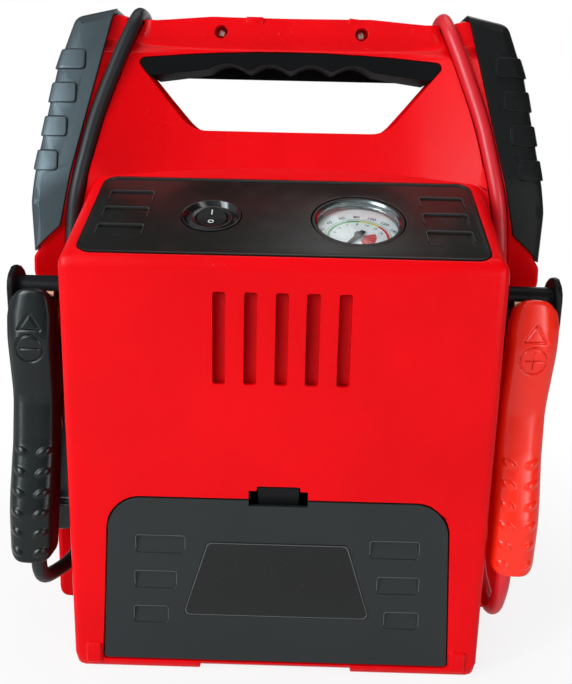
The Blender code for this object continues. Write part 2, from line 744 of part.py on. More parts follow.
def cover_section(inset, roof):
    """Y, Z section of the cover, inset by its wall and by the thicker roof."""
    far = 0.115
    slope = math.tan(BOX_TILT)
    top = BASE + BOX_H - roof / math.cos(BOX_TILT)
    return [(REAR + inset, BASE + inset), (REAR + far, BASE + inset),
            (REAR + far, top + far * slope), (REAR + inset, top + inset * slope)]


def door_outline(grow=0.0):
    return mirrored([(DOOR_HALF_LOW + grow, BASE + DOOR_LOW - grow * 1.6, 0.002),
                     (DOOR_HALF_TOP + grow, BASE + DOOR_TOP + grow, DOOR_R)])


def vent_outlines():
    half = VENT_W / 2
    for i in range(VENT_COUNT):
        x = (i - (VENT_COUNT - 1) / 2) * VENT_PITCH
        yield box_outline(x - half, x + half, BASE + VENT_LOW, BASE + VENT_HIGH, half - 0.0002)


def cover_feet():
    """Low feet moulded under the cover's front corners, a hair inside its faces."""
    reach = BOX_HALF - 0.0002
    feet = block("cover_feet", (-reach, REAR + 0.0002, 0.0),
                 (reach, REAR + COVER_FOOT_LONG, BASE + 0.012))
    bevel(feet, BOX_RIM, 3)
    return cut(feet, block("between_feet", (-COVER_FOOT_IN, REAR - 0.01, -0.01),
                           (COVER_FOOT_IN, REAR + COVER_FOOT_LONG + 0.01, BASE + 0.02)))


def make_cover():
    cover = slab("compressor_cover", [cover_section(0.0, 0.0)], (-BOX_HALF, BOX_HALF), sideways, RED)
    bevel(cover, BOX_RIM, 3)
    join(cover, cover_feet())
    cut(cover, slab("cover_room", [cover_section(COVER_WALL, BOX_TOP_WALL)],
                    (-BOX_HALF + COVER_WALL, BOX_HALF - COVER_WALL), sideways))
    keep_out = slab("cover_stop", [side_profile(GAP)], (-0.2, 0.2), sideways)
    cut(keep_out, scoop("cover_stop_scoop", GAP))
    cut(cover, keep_out)
    seat = box_outline(-PANEL_HALF - GAP, PANEL_HALF + GAP, PANEL_FROM - GAP, PANEL_TO + GAP, PANEL_R)
    window = box_outline(-PANEL_HALF + 0.006, PANEL_HALF - 0.006, PANEL_FROM + 0.006,
                         PANEL_TO - 0.012, 0.004)
    cut(cover, in_slope("panel_seat", seat, -PANEL_T - GAP, 0.01),
        in_slope("panel_window", window, -0.02, 0.01))
    slots = slab("vent_slots", list(vent_outlines()), (REAR - 0.01, REAR + 0.01), upright)
    door = slab("door_hole", [door_outline(DOOR_FIT)], (REAR - 0.01, REAR + 0.01), upright)
    notch = slab("notch_hole", [box_outline(-NOTCH_HALF, NOTCH_HALF, BASE + DOOR_TOP - 0.002,
                                            BASE + DOOR_TOP + NOTCH_H)],
                 (REAR - 0.01, REAR + 0.01), upright)
    tab = slab("tab_hole", [box_outline(-TAB_HALF - 0.0006, TAB_HALF + 0.0006, BASE + DOOR_TOP,
                                        BASE + DOOR_TOP + 0.0075, 0.001)],
               (REAR - 0.01, REAR + 0.01), upright)
    cut(cover, slots, door, notch, tab)
    for side in (-1, 1):
        near = DOOR_HALF_LOW + DOOR_FIT + 0.0004
        low = (side * near, REAR - BOSS_PROUD, BASE + 0.002)
        high = (side * (near + BOSS_W), REAR + 0.0045, BASE + BOSS_H + 0.002)
        corners = [[min(a, b) for a, b in zip(low, high)], [max(a, b) for a, b in zip(low, high)]]
        boss = block(f"hinge_boss_{side}", *corners)
        bevel(boss, 0.001, 1)
        join(cover, boss)
        axis = (REAR + HINGE_IN, BASE + HINGE_H)
        bore = rod(f"hinge_bore_{side}", HINGE_PIN_R + 0.0004, (side * (near - 0.002), *axis),
                   (side * (near + HINGE_PIN_LONG + 0.0005), *axis), sides=16)
        cut(cover, bore)
        post = rod(f"post_bore_{side}", 0.0043, (side * (BOX_HALF - 0.01), REAR + POST_SET, BASE + POST_H),
                   (side * (BOX_HALF + 0.01), REAR + POST_SET, BASE + POST_H), sides=16)
        cut(cover, post)
    return cover


def dimple(name, x_in, x_out, top, length, depth, axis_frame=None, face_y=None):
    """Wedge cutter of a recessed ramp: deepest along its upper edge, flush at its lower edge."""
    low, high = sorted((x_in, x_out))
    section = [(top - length, 0.0), (top, -depth), (top, 0.002), (top - length, 0.002)]
    if axis_frame is not None:
        turn = Matrix.Rotation(math.pi / 2, 4, 'Z') @ Matrix.Rotation(math.pi / 2, 4, 'X')
        obj = prism(name, [section], high - low,
                    Matrix.Translation(((low + high) / 2, 0, 0)) @ turn)
        carry(axis_frame, obj)
        return obj
    flipped = [(face_y - v, BASE + u) for u, v in section]
    return slab(name, [flipped], (low, high), sideways)


def make_panel():
    """Inset control panel with a fine raised rim, a gauge opening and a switch recess."""
    edge = box_outline(-PANEL_HALF, PANEL_HALF, PANEL_FROM, PANEL_TO, PANEL_R)
    field = box_outline(-PANEL_HALF + PANEL_RIM, PANEL_HALF - PANEL_RIM, PANEL_FROM + PANEL_RIM,
                        PANEL_TO - PANEL_RIM, PANEL_R - PANEL_RIM)
    panel = in_slope("control_panel", edge, -PANEL_T, 0.0004, BLACK)
    cut(panel, in_slope("panel_field", field, -0.0003, 0.01))
    for side in (-1, 1):
        for i, top in enumerate(DIMPLE_TOPS):
            cut(panel, dimple(f"dimple_{side}_{i}", side * DIMPLE_IN, side * DIMPLE_OUT, top,
                              DIMPLE_LONG, DIMPLE_DEEP, PANEL_FRAME))
    for name, x, s, radius in (("gauge_hole", GAUGE_X, GAUGE_S, GAUGE_R),
                               ("switch_hole", SWITCH_X, SWITCH_S, SWITCH_R)):
        hole = rod(name, radius, (x, s, -0.02), (x, s, 0.02), sides=48)
        carry(PANEL_FRAME, hole)
        cut(panel, hole)
    return panel


# ================================================================ gauge and switch
def make_gauge():
    inner = GAUGE_R - 0.0004
    wall = 0.0016
    spot = (GAUGE_X, GAUGE_S, 0.0)
    floor = -DIAL_DEEP - 0.0012
    case = turned("gauge_case",
                  [(0.0, floor), (inner - wall, floor), (inner - wall, -0.0006), (inner, -0.0006),
                   (inner, -PANEL_T - 0.0006), (inner + 0.0022, -PANEL_T - 0.0006),
                   (inner + 0.0022, -GAUGE_DEEP), (0.0, -GAUGE_DEEP)], BLACK, 32)
    ring_out = inner - wall - GAP
    dial = turned("gauge_dial",
                  [(0.0, -DIAL_DEEP), (ring_out, -DIAL_DEEP), (ring_out, -DIAL_DEEP - 0.0008),
                   (0.0, -DIAL_DEEP - 0.0008)], WHITE, 32)
    lens = turned("gauge_lens",
                  [(0.0, -0.0018), (ring_out - 0.0012, -0.0018), (ring_out - 0.0012, -0.0028),
                   (0.0, -0.0028)], GLASS, 32)
    for obj in (case, dial, lens):
        carry(PANEL_FRAME, obj)
        obj.location = spot
    hub = [(NEEDLE_LONG, 0.0003), (0.0030, 0.0011), (-0.0048, 0.0012), (-0.0048, -0.0012),
           (0.0030, -0.0011), (NEEDLE_LONG, -0.0003)]
    needle = prism("gauge_needle", [hub], 0.0008, Matrix.Identity(4), BLACK)
    join(needle, rod("needle_hub", 0.0022, (0, 0, -0.0006), (0, 0, 0.0010), sides=20))
    CUTTERS.objects["needle_hub"].parent = needle
    carry(PANEL_FRAME, needle)
    needle.location = (GAUGE_X, GAUGE_S - NEEDLE_OFF, -DIAL_DEEP + 0.0012)
    needle.rotation_euler = (0, 0, math.radians(-125))
    return needle


def make_switch():
    """Round rocker switch: dished ring, snap-in body and the rocker."""
    spot = (SWITCH_X, SWITCH_S, 0.0)
    out = SWITCH_R - GAP
    well = ROCKER_R + 0.0006
    bezel = turned("switch_bezel",
                   [(0.0, -0.0095), (well, -0.0095), (well, -0.0012), (SWITCH_BEZEL_R - 0.0022, -0.0009),
                    (SWITCH_BEZEL_R, -0.0024), (out - 0.0006, 0.0002), (out, 0.0002),
                    (out, -PANEL_T - 0.0006), (out + 0.0016, -PANEL_T - 0.0006),
                    (out + 0.0016, -PANEL_T - 0.0020), (SWITCH_BEZEL_R - 0.0015, -PANEL_T - 0.0020),
                    (SWITCH_BEZEL_R - 0.0015, -0.022), (0.0, -0.022)], BLACK, 24)
    carry(PANEL_FRAME, bezel)
    bezel.location = spot
    reach = ROCKER_R
    rise = reach * math.tan(ROCKER_TILT)
    section = [(-reach * 1.2, 0.0016 + rise * 1.2), (0.0, 0.0016), (reach * 1.2, 0.0016 + rise * 1.2),
               (reach * 1.2, -0.0042), (-reach * 1.2, -0.0042)]
    turn = Matrix.Rotation(math.pi / 2, 4, 'Z') @ Matrix.Rotation(math.pi / 2, 4, 'X')
    rocker = prism("compressor_rocker", [section], reach * 2.4, turn, BLACK)
    disc = rod("rocker_disc", ROCKER_R, (0, 0, -0.01), (0, 0, 0.01), sides=32)
    keep(rocker, disc)
    carry(PANEL_FRAME, rocker, disc)
    for obj in (rocker, disc):
        obj.location = (SWITCH_X, SWITCH_S, -0.0030)
    rocker.rotation_mode = 'QUATERNION'
    tilt = Matrix.Rotation(ROCKER_TILT, 4, 'X')
    rocker.rotation_quaternion = (tilt @ turn).to_quaternion()
    disc.rotation_euler = (ROCKER_TILT, 0, 0)
    return rocker


# ================================================================ door, latch and tray
def make_door():
    door = slab("hose_door", [door_outline()], (REAR, REAR + DOOR_T), upright, GREY)
    gap_cut = slab("door_notch", [box_outline(-NOTCH_HALF - 0.0002, NOTCH_HALF + 0.0002,
                                              BASE + DOOR_TOP - NOTCH_DROP, BASE + DOOR_TOP + 0.01)],
                   (REAR - 0.01, REAR + 0.01), upright)
    back = REAR + DOOR_T - 0.0005
    join(door, block("latch_stop", (-0.005, back, BASE + 0.0735),
                     (0.005, REAR + LEAF_BACK, BASE + 0.0765)))
    cut(door, gap_cut)
    for side in (-1, 1):
        for i, top in enumerate(DOOR_DIMPLES):
            shrink = 0.0035 * (2 - i) / 2
            cut(door, dimple(f"door_dimple_{side}_{i}", side * (0.0475 + 0.0045 * i),
                             side * (0.0735 - 0.0005 * shrink), top, 0.0095, DIMPLE_DEEP,
                             face_y=REAR))
        axis = (REAR + HINGE_IN, BASE + HINGE_H)
        pin = rod(f"door_pin_{side}", HINGE_PIN_R, (side * (DOOR_HALF_LOW - 0.004), *axis),
                  (side * (DOOR_HALF_LOW + HINGE_PIN_LONG), *axis), sides=16)
        join(door, pin)
    for side in (-1, 1):
        for name, inner, near in (("rail", TAB_HALF + GAP, back),
                                  ("hook", TAB_HALF - 0.0020, REAR + LEAF_BACK + GAP)):
            ends = sorted((side * inner, side * (TAB_HALF + 0.0022)))
            join(door, block(f"latch_{name}_{side}", (ends[0], near, BASE + 0.0780),
                             (ends[1], REAR + LEAF_BACK + 0.0015, BASE + 0.0925)))
    return door


def make_latch():
    """Tab above the door's top edge, on a leaf that slides between the door's rails."""
    top = BASE + DOOR_TOP + 0.0070
    section = [(REAR + 0.0002, top - TAB_H), (REAR + LEAF_BACK - 0.0017, top - TAB_H - 0.001),
               (REAR + LEAF_BACK - 0.0017, BASE + 0.0800), (REAR + LEAF_BACK, BASE + 0.0800),
               (REAR + LEAF_BACK, top), (REAR + 0.0002, top)]
    return slab("door_latch", [section], (-TAB_HALF, TAB_HALF), sideways, BLACK)


def make_tray():
    """Liner of the hose compartment, with pegs for the two nozzle adaptors."""
    low = (-0.0960, REAR + 0.0085, BASE + COVER_WALL + GAP)
    high = (0.0960, REAR + 0.0085 + TRAY_DEEP, BASE + 0.1085)
    tray = block("hose_tray", low, high, BLACK)
    cut(tray, block("tray_room", (low[0] + TRAY_WALL, low[1] - 0.01, low[2] + TRAY_WALL),
                    [b - TRAY_WALL for b in high]))
    back = REAR + 0.0085 + TRAY_DEEP - TRAY_WALL
    for x in ADAPTOR_X:
        join(tray, rod(f"peg_{x}", 0.0018, (x, back - 0.012, BASE + 0.030),
                       (x, back + 0.001, BASE + 0.030), sides=12))
    hole = rod("outlet_hole", 0.0046, (0.075, back - 0.01, BASE + 0.090),
               (0.075, back + 0.01, BASE + 0.090), sides=20)
    return cut(tray, hole)


ADAPTOR_X = (-0.080, -0.066)


def make_outlet():
    """Hose tail on the compressor's outlet, through the liner's back."""
    back = REAR + 0.0085 + TRAY_DEEP - TRAY_WALL
    tail = turned("hose_outlet",
                  [(0.0, 0.014), (0.0024, 0.014), (0.0034, 0.010), (0.0026, 0.0095), (0.0034, 0.006),
                   (0.0026, 0.0055), (0.0026, 0.0025), (0.0062, 0.0025), (0.0062, 0.0003),
                   (0.0043, 0.0003), (0.0043, -0.003), (0.0, -0.003)], COPPER, 12)
    tail.location = (0.075, back, BASE + 0.090)
    tail.rotation_euler = (math.pi / 2, 0, 0)


def make_adaptors():
    """Nozzle adaptors pushed on the liner's pegs."""
    back = REAR + 0.0085 + TRAY_DEEP - TRAY_WALL
    shapes = {"nozzle_cone": [(0.0023, 0.026), (0.0030, 0.026), (0.0052, 0.006), (0.0052, 0.0004),
                              (0.0023, 0.0004)],
              "nozzle_valve": [(0.0023, 0.020), (0.0036, 0.020), (0.0036, 0.012), (0.0048, 0.010),
                               (0.0048, 0.0004), (0.0023, 0.0004)]}
    for x, (name, profile) in zip(ADAPTOR_X, shapes.items()):
        nozzle = turned(name, profile, GREY, 12, ring=True)
        nozzle.location = (x, back, BASE + 0.030)
        nozzle.rotation_euler = (math.pi / 2, 0, 0)


# ================================================================ compressor and battery
def make_compressor():
    y, z = REAR + 0.032, BASE + 0.138
    motor = turned("compressor_motor",
                   [(0.0, 0.036), (0.0060, 0.036), (0.0060, 0.032), (0.0200, 0.032), (0.0210, 0.030),
                    (0.0210, -0.030), (0.0200, -0.032), (0.0, -0.032)], STEEL, 20)
    motor.location = (-0.034, y, z)
    motor.rotation_euler = (0, -math.pi / 2, 0)
    body = box_outline(REAR + 0.012, REAR + 0.052, z - 0.026, z + 0.020, 0.008)
    crank = slab("compressor_crankcase", [body], (0.0, 0.030), sideways, GREY)
    bevel(crank, 0.0015, 1, 60)
    fins = [(0.0, 0.040), (0.0110, 0.040)]
    for i in range(4):
        top = 0.037 - i * 0.0085
        fins += [(0.0110, top), (0.0150, top), (0.0150, top - 0.0024), (0.0110, top - 0.0024)]
    fins += [(0.0110, 0.0), (0.0, 0.0)]
    pump = turned("pump_cylinder", fins, STEEL, 14)
    pump.location = (0.015, y, z + 0.020 + GAP)


def make_battery():
    width, deep, high = BATTERY
    y0 = REAR + 0.103
    z0 = BASE + WALL + GAP
    battery = block("battery", (-width / 2, y0, z0), (width / 2, y0 + deep, z0 + high), GREY)
    bevel(battery, 0.002, 1)
    lid = block("battery_lid", (-width / 2 + 0.004, y0 + 0.004, z0 + high - 0.002),
                (width / 2 - 0.004, y0 + deep - 0.004, z0 + high + 0.002))
    join(battery, lid)
    for side in (-1, 1):
        join(battery, rod(f"terminal_{side}", 0.006, (side * 0.072, y0 + 0.022, z0 + high),
                          (side * 0.072, y0 + 0.022, z0 + high + 0.010), sides=12))
    return battery


def make_board():
    board = block("circuit_board", (-0.050, REAR + 0.0720, BASE + 0.030),
                  (0.050, REAR + 0.0736, BASE + 0.150), GREEN)
    components = ((-0.030, 0.120, 0.014, 0.018, 0.012), (0.020, 0.060, 0.030, 0.022, 0.009),
                  (-0.020, 0.060, 0.020, 0.012, 0.006))
    for i, (x, z, w, h, t) in enumerate(components):
        join(board, block(f"component_{i}", (x, REAR + 0.0732, BASE + z),
                          (x + w, REAR + 0.0736 + t, BASE + z + h)))
    return board


# ================================================================ posts and clamps
def make_post(side, word):
    """Parking post on the cover's side, with an end plate and three pegs."""
    y, z = REAR + POST_SET, BASE + POST_H
    near = BOX_HALF + GAP
    end = near + POST_LONG
    post = rod("clamp_post_" + word, POST_R, (side * near, y, z),
               (side * (end + 0.0005), y, z), BLACK, 16)
    plate_loop = box_outline(y - PLATE_R, y + PLATE_R, z - PLATE_DROP, z + PLATE_R, PLATE_R * 0.98)
    ends = sorted((side * end, side * (end + PLATE_T)))
    plate = slab("plate_" + word, [plate_loop], ends, sideways)
    bevel(plate, 0.0008, 1, 60)
    spigot = rod("spigot_" + word, 0.004, (side * (near - 0.004), y, z), (side * (near + 0.001), y, z),
                 sides=12)
    join(post, plate, spigot)
    for i in range(3):
        drop = z - 0.001 - i * 0.0085
        join(post, rod(f"peg_{word}_{i}", 0.0020, (side * (end + PLATE_T - 0.001), y, drop),
                       (side * (end + PLATE_T + PEG_PROUD), y, drop), sides=8))
    return post


def inner_line(height):
    """Inner edge of a clamp half: clear of the other half when the clamp is squeezed."""
    return max(0.0022, 0.152 * abs(height) + 0.0010)


def clamp_cover_section(sign):
    """Y, Z section of a plastic handle cover; sign is -1 for the near half."""
    outer = [(0.0158, 0.0700), (0.0205, 0.0300, 0.030),
             (0.0150, 0.0000, 0.030), (0.0178, -0.0250, 0.040), (0.0270, -0.0600, 0.040),
             (0.0285, -0.1000)]
    inner = [(inner_line(HANDLE_LONG), -0.1000),
             (inner_line(HANDLE_LONG), -HANDLE_LONG), (inner_line(0.0120), -0.0120),
             (0.0030, 0.0060), (0.0078, 0.0400), (0.0085, 0.0700)]
    return [(sign * y, z, *rest) for y, z, *rest in outer + inner]


def clamp_front_outline():
    """X, Z outline of a clamp cover: round hood, waist and handle."""
    return mirrored([(0.0100, -HANDLE_LONG, 0.006), (0.0107, -0.050, 0.040), (WAIST_W, -0.004, 0.040),
                     (CLAMP_HALF, 0.042, 0.020), (0.0092, 0.0555, 0.006)])


def jaw_section(sign, ear):
    """Y, Z section of a jaw: toothed edge, back, ear round the pin and a tang in the handle."""
    teeth = []
    base = Vector((0.0022, 0.016))
    tip = Vector((POST_R + 0.0004, 0.044))
    count = 6
    for i in range(count):
        a = base.lerp(tip, i / count)
        b = base.lerp(tip, (i + 0.5) / count)
        teeth += [(a.x, a.y), (b.x - 0.0011, b.y)]
    back = [(POST_R + 0.0004, 0.044), (POST_R + 0.0004, 0.0535), (0.0092, 0.0535), (0.0125, 0.042, 0.006),
            (0.0115, 0.020, 0.010), (0.0105, 0.0, 0.010), (0.0122, -0.024), (0.0095, -0.025),
            (0.0062, -0.010, 0.004)]
    loop = [(ear, -0.0050, 0.004), (-0.0042, -0.0050, 0.004), (-0.0042, 0.0050, 0.004)]
    return [(sign * y, z, *rest) for y, z, *rest in teeth + back + loop]


def in_clamp(name, loop, ends, clamp, finish=None):
    depth, place = sideways(*ends)
    obj = prism(name, [loop], depth, place, finish)
    carry(clamp, obj)
    return obj


def clamp_matrix(word):
    """Placing of a clamp: it hangs from its post, and its origin is on the pivot pin."""
    side = -1.0 if word == "left" else 1.0
    post = Matrix.Translation((side * CLAMP_X, REAR + POST_SET, BASE + POST_H))
    turn = Euler((-CLAMP_TILT, CLAMP_LEAN[word], 0)).to_matrix().to_4x4()
    return post @ turn @ Matrix.Translation((0, 0, -PIVOT_DROP))


def make_clamp(word):
    """Battery clamp that grips its post: two covered jaws on a pin, spread by a torsion spring."""
    shade = BLACK if word == "left" else RED_CLAMP
    place = clamp_matrix(word)
    clamp = frame("clamp_frame_" + word, place.translation, place.to_euler())
    for half, sign, outer in (("near", -1, JAW_HALF), ("far", 1, JAW_HALF - EAR_T - GAP)):
        label = f"{word}_{half}"
        cover = in_clamp("clamp_cover_" + label, clamp_cover_section(sign), (-0.02, 0.02), clamp, shade)
        depth, place = upright(-0.04, 0.04)
        face = prism("clamp_face_" + label, [clamp_front_outline()], depth, place)
        carry(clamp, face)
        keep(cover, face)
        bevel(cover, 0.0020, 2, 50)
        room = [(sign * y, z) for y, z in ((-0.01, 0.070), (0.0135, 0.070), (0.0135, 0.040), (0.0122, 0.0),
                                           (0.0135, -0.026), (0.0200, -0.070), (-0.01, -0.070))]
        cut(cover, in_clamp("clamp_room_" + label, room, (-JAW_HALF - GAP, JAW_HALF + GAP), clamp))
        pin_room = rod("pin_room_" + label, 0.0052, (-0.02, 0, 0), (0.02, 0, 0), sides=16)
        carry(clamp, pin_room)
        cut(cover, pin_room)
        if half == "near":
            aside = LEAD_ASIDE if word == "left" else -LEAD_ASIDE
            entry = rod("lead_entry_" + label, LEAD_R + GAP, (aside, LEAD_ENTRY, -HANDLE_LONG - 0.01),
                        (aside, LEAD_ENTRY, -HANDLE_LONG + 0.007), sides=16)
            carry(clamp, entry)
            cut(cover, entry)
        jaw = in_clamp("clamp_jaw_" + label, jaw_section(sign, 0.004), (-outer, outer), clamp, COPPER)
        slot = [(sign * y, z) for y, z in ((-0.02, 0.060), (0.0080, 0.060), (0.0080, -0.008), (0.0102, -0.03),
                                           (-0.02, -0.03))]
        channel = in_clamp("channel_" + label, slot, (-outer + EAR_T, outer - EAR_T), clamp)
        hole = rod("pin_hole_" + label, 0.0023, (-0.02, 0, 0), (0.02, 0, 0), sides=16)
        carry(clamp, hole)
        cut(jaw, channel, hole)
    pin = rod("clamp_pin_" + word, 0.0020, (-JAW_HALF - 0.0004, 0, 0), (JAW_HALF + 0.0004, 0, 0), STEEL, 16)
    carry(clamp, pin)
    coil = []
    turns, wire, radius = 3, 0.0007, 0.0040
    for i in range(turns * 6 + 1):
        angle = math.radians(60 * i) - math.pi / 2
        x = (i / (turns * 6) - 0.5) * 0.0075
        coil.append(Vector((x, radius * math.cos(angle), radius * math.sin(angle))))
    first = Vector((coil[0].x, -0.0066, -0.0150))
    last = Vector((coil[-1].x, 0.0038, -0.0150))
    spring = tube("clamp_spring_" + word, [first, *coil, last], wire, STEEL, 1)
    carry(clamp, spring)
    return clamp


def gland_place(side):
    sign = -1.0 if side == "left" else 1.0
    return Vector((sign * 0.1170, FACE, BASE + 0.092 - GAP))


def gland_pocket(side):
    place = gland_place(side)
    return rod("gland_pocket_" + side, 0.0062, place + Vector((0, 0, -0.030)), place + Vector((0, 0, 0.002)),
               sides=20)


def make_gland(side):
    """Tapered strain relief at the foot of a lead's groove."""
    gland = turned("lead_gland_" + side,
                   [(0.0, 0.0), (0.0046, 0.0), (0.0058, -0.024), (0.0058, -0.0290), (0.0, -0.0290)],
                   RUBBER, 20)
    gland.location = gland_place(side)


# ================================================================ lamp side
def make_front_panel():
    loop = box_outline(-PLATE_HALF, PLATE_HALF, BASE + PLATE_LOW, BASE + PLATE_HIGH, 0.010)
    panel = slab("front_panel", [loop], (FACE - PANEL_T + GAP, FACE), upright, BLACK)
    holes = [rod("socket_hole", SOCKET_R + GAP, (SOCKET_X, FACE - 0.01, BASE + SOCKET_H),
                 (SOCKET_X, FACE + 0.01, BASE + SOCKET_H), sides=32),
             rod("button_hole", BUTTON_R + GAP, (BUTTON_X, FACE - 0.01, BASE + BUTTON_H),
                 (BUTTON_X, FACE + 0.01, BASE + BUTTON_H), sides=20),
             rod("jack_hole", 0.0048 + GAP, (BUTTON_X, FACE - 0.01, BASE + 0.050),
                 (BUTTON_X, FACE + 0.01, BASE + 0.050), sides=20)]
    for name, (u0, u1, v0, v1) in PANEL_SLOTS.items():
        loop = box_outline(u0 - GAP, u1 + GAP, BASE + v0 - GAP, BASE + v1 + GAP, 0.0012)
        holes.append(slab(name + "_slot", [loop], (FACE - 0.01, FACE + 0.01), upright))
    axis = (FACE + 0.0003 + 0.0012 + CAP_T * 0.4, BASE + SOCKET_H + CAP_HINGE)
    for side in (-1, 1):
        ends = sorted((SOCKET_X + side * 0.0064, SOCKET_X + side * 0.0088))
        ear = block(f"cap_ear_{side}", (ends[0], FACE - 0.001, axis[1] - 0.0022),
                    (ends[1], axis[0] + 0.0018, axis[1] + 0.0022))
        join(panel, ear)
        holes.append(rod(f"cap_bore_{side}", 0.0010, (SOCKET_X + side * 0.005, *axis),
                         (SOCKET_X + side * 0.0082, *axis), sides=12))
    return cut(panel, *holes)


PANEL_SLOTS = {
    "key": (KEY_X - KEY_HALF_W - 0.0022, KEY_X + KEY_HALF_W + 0.0022,
            KEY_H - KEY_HALF_H - 0.0022, KEY_H + KEY_HALF_H + 0.0022),
    "window": (0.030, 0.070, 0.112, 0.126),
}


def make_panel_devices():
    face = FACE
    socket = turned("power_socket",
                    [(0.0, -0.0110), (0.0108, -0.0110), (0.0108, 0.0006), (SOCKET_R, 0.0006),
                     (SOCKET_R, -0.0125), (0.0, -0.0125)], BLACK, 24)
    socket.location = (SOCKET_X, face, BASE + SOCKET_H)
    socket.rotation_euler = (-math.pi / 2, 0, 0)
    cap = turned("socket_cap",
                 [(0.0, 0.0012 + CAP_T), (CAP_R - 0.001, 0.0012 + CAP_T), (CAP_R, 0.0002 + CAP_T),
                  (CAP_R, 0.0012), (0.0095, 0.0012), (0.0095, -0.0035), (0.0, -0.0035)], RUBBER, 20)
    lug = block("cap_lug", (-0.006, -CAP_HINGE, 0.0012), (0.006, 0.0, 0.0012 + CAP_T * 0.6))
    axis = 0.0012 + CAP_T * 0.4
    barrel = rod("cap_barrel", 0.0016, (-0.006, -CAP_HINGE, axis), (0.006, -CAP_HINGE, axis), sides=16)
    pin = rod("cap_pin", 0.0007, (-0.0078, -CAP_HINGE, axis), (0.0078, -CAP_HINGE, axis), sides=12)
    for piece in (lug, barrel, pin):
        piece.parent = cap
    join(cap, lug, barrel, pin)
    cap.location = (SOCKET_X, face + 0.0003, BASE + SOCKET_H)
    cap.rotation_euler = (-math.pi / 2, 0, 0)
    key_loop = box_outline(*PANEL_SLOTS["key"][:2], *[BASE + v for v in PANEL_SLOTS["key"][2:]], 0.0012)
    hole = box_outline(KEY_X - KEY_HALF_W - 0.0004, KEY_X + KEY_HALF_W + 0.0004,
                       BASE + KEY_H - KEY_HALF_H - 0.0011, BASE + KEY_H + KEY_HALF_H + 0.0011)
    bezel = slab("lamp_switch_bezel", [key_loop], (face - 0.012, face + 0.001), upright, BLACK)
    cut(bezel, slab("key_well", [hole], (face - 0.009, face + 0.01), upright))
    half = KEY_HALF_H
    section = [(0.0035 + half * 0.14, half), (0.0035, 0.0), (0.0035 + half * 0.14, -half),
               (-0.0020, -half * 0.9), (-0.0020, half * 0.9)]
    depth, place = sideways(-KEY_HALF_W, KEY_HALF_W)
    key = prism("lamp_rocker", [section], depth, place, BLACK)
    key.matrix_world = (Matrix.Translation((KEY_X, face - 0.0032, BASE + KEY_H))
                        @ Matrix.Rotation(-ROCKER_TILT, 4, 'X') @ place)
    button = turned("test_button", [(0.0, 0.0022), (BUTTON_R - 0.0008, 0.0020), (BUTTON_R, 0.0014),
                                    (BUTTON_R, -0.0030), (0.0, -0.0030)], RED_CLAMP, 20)
    button.location = (BUTTON_X, face, BASE + BUTTON_H)
    button.rotation_euler = (-math.pi / 2, 0, 0)
    window = PANEL_SLOTS["window"]
    slab("level_window", [box_outline(window[0], window[1], BASE + window[2], BASE + window[3], 0.0012)],
         (face - PANEL_T, face + 0.0004), upright, GLASS)
    jack = turned("charge_jack", [(0.0, -0.0085), (0.0027, -0.0085), (0.0027, 0.0008), (0.0048, 0.0008),
                                  (0.0048, -0.010), (0.0, -0.010)], BLACK, 20)
    jack.location = (BUTTON_X, face, BASE + 0.050)
    jack.rotation_euler = (-math.pi / 2, 0, 0)


def make_lamp():
    """Work lamp: bowl reflector behind a flat lens, in the lamp side's leaning face."""
    edge = box_outline(-LAMP_HALF_W - 0.003 + GAP, LAMP_HALF_W + 0.003 - GAP,
                       -LAMP_HALF_H - 0.003 + GAP, LAMP_HALF_H + 0.003 - GAP, 0.008)
    lens = prism("lamp_lens", [edge], 0.0018, Matrix.Translation((0, 0, -0.0130 + GAP + 0.0009)), GLASS)
    out = box_outline(-LAMP_HALF_W + GAP, LAMP_HALF_W - GAP, -LAMP_HALF_H + GAP, LAMP_HALF_H - GAP, 0.006)
    room = box_outline(-LAMP_HALF_W + 0.002, LAMP_HALF_W - 0.002, -LAMP_HALF_H + 0.002,
                       LAMP_HALF_H - 0.002, 0.005)
    bowl = prism("lamp_reflector", [out], 0.014, Matrix.Translation((0, 0, -0.0130 - 0.007)), CHROME)
    dish = prism("bowl_dish", [room], 0.014, Matrix.Translation((0, 0, -0.0130 - 0.005)))
    carry(LAMP_FRAME, lens, bowl, dish)
    cut(bowl, dish)


def make_feet():
    """Long low pads under the corners of the lamp side."""
    for side, name in ((-1, "left"), (1, "right")):
        ends = sorted((side * 0.041, side * 0.102))
        foot = block("foot_" + name, (ends[0], FACE - 0.022, 0.0), (ends[1], FACE - 0.008, FOOT_H), RUBBER)
        bevel(foot, 0.0006, 1)


# ================================================================ assembly
PANEL_FRAME = frame("panel_frame", (0, REAR, BASE + BOX_H), (BOX_TILT, 0, 0))
LAMP_FRAME = frame("lamp_frame", (0, front_y(LAMP_H), BASE + LAMP_H), (math.pi / 2 - LAMP_LEAN, 0, math.pi))
BODY_PROFILE = slab("body_profile", [side_profile()], (-0.2, 0.2), sideways)
CAVITY = slab("cavity", [cavity()], (-0.117, 0.117), sideways)
REAR_SCOOP = scoop("rear_scoop")
GROOVES = [lead_groove("left"), lead_groove("right")]

make_rear_housing(GROOVES)
make_front_housing(GROOVES)
make_grip()
make_handle_screws()
make_cover()
make_panel()
make_gauge()
make_switch()
make_door()
make_latch()
make_tray()
make_outlet()
make_adaptors()
make_compressor()
make_battery()
make_board()
for direction, label in ((-1, "left"), (1, "right")):
    make_armour(direction, label)
    make_side_pad(direction, label)
    make_post(direction, label)
    make_clamp(label)
    make_lead(label)
    make_gland(label)
make_front_panel()
make_panel_devices()
make_lamp()
make_feet()
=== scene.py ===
"""Jump starter pack with a built-in air compressor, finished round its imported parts.

Metres, +Z up.  X runs across the pack, -Y is the compressor side, +Y the lamp side.
"""
import math

import bpy
import numpy as np
from mathutils import Euler, Matrix, Quaternion, Vector


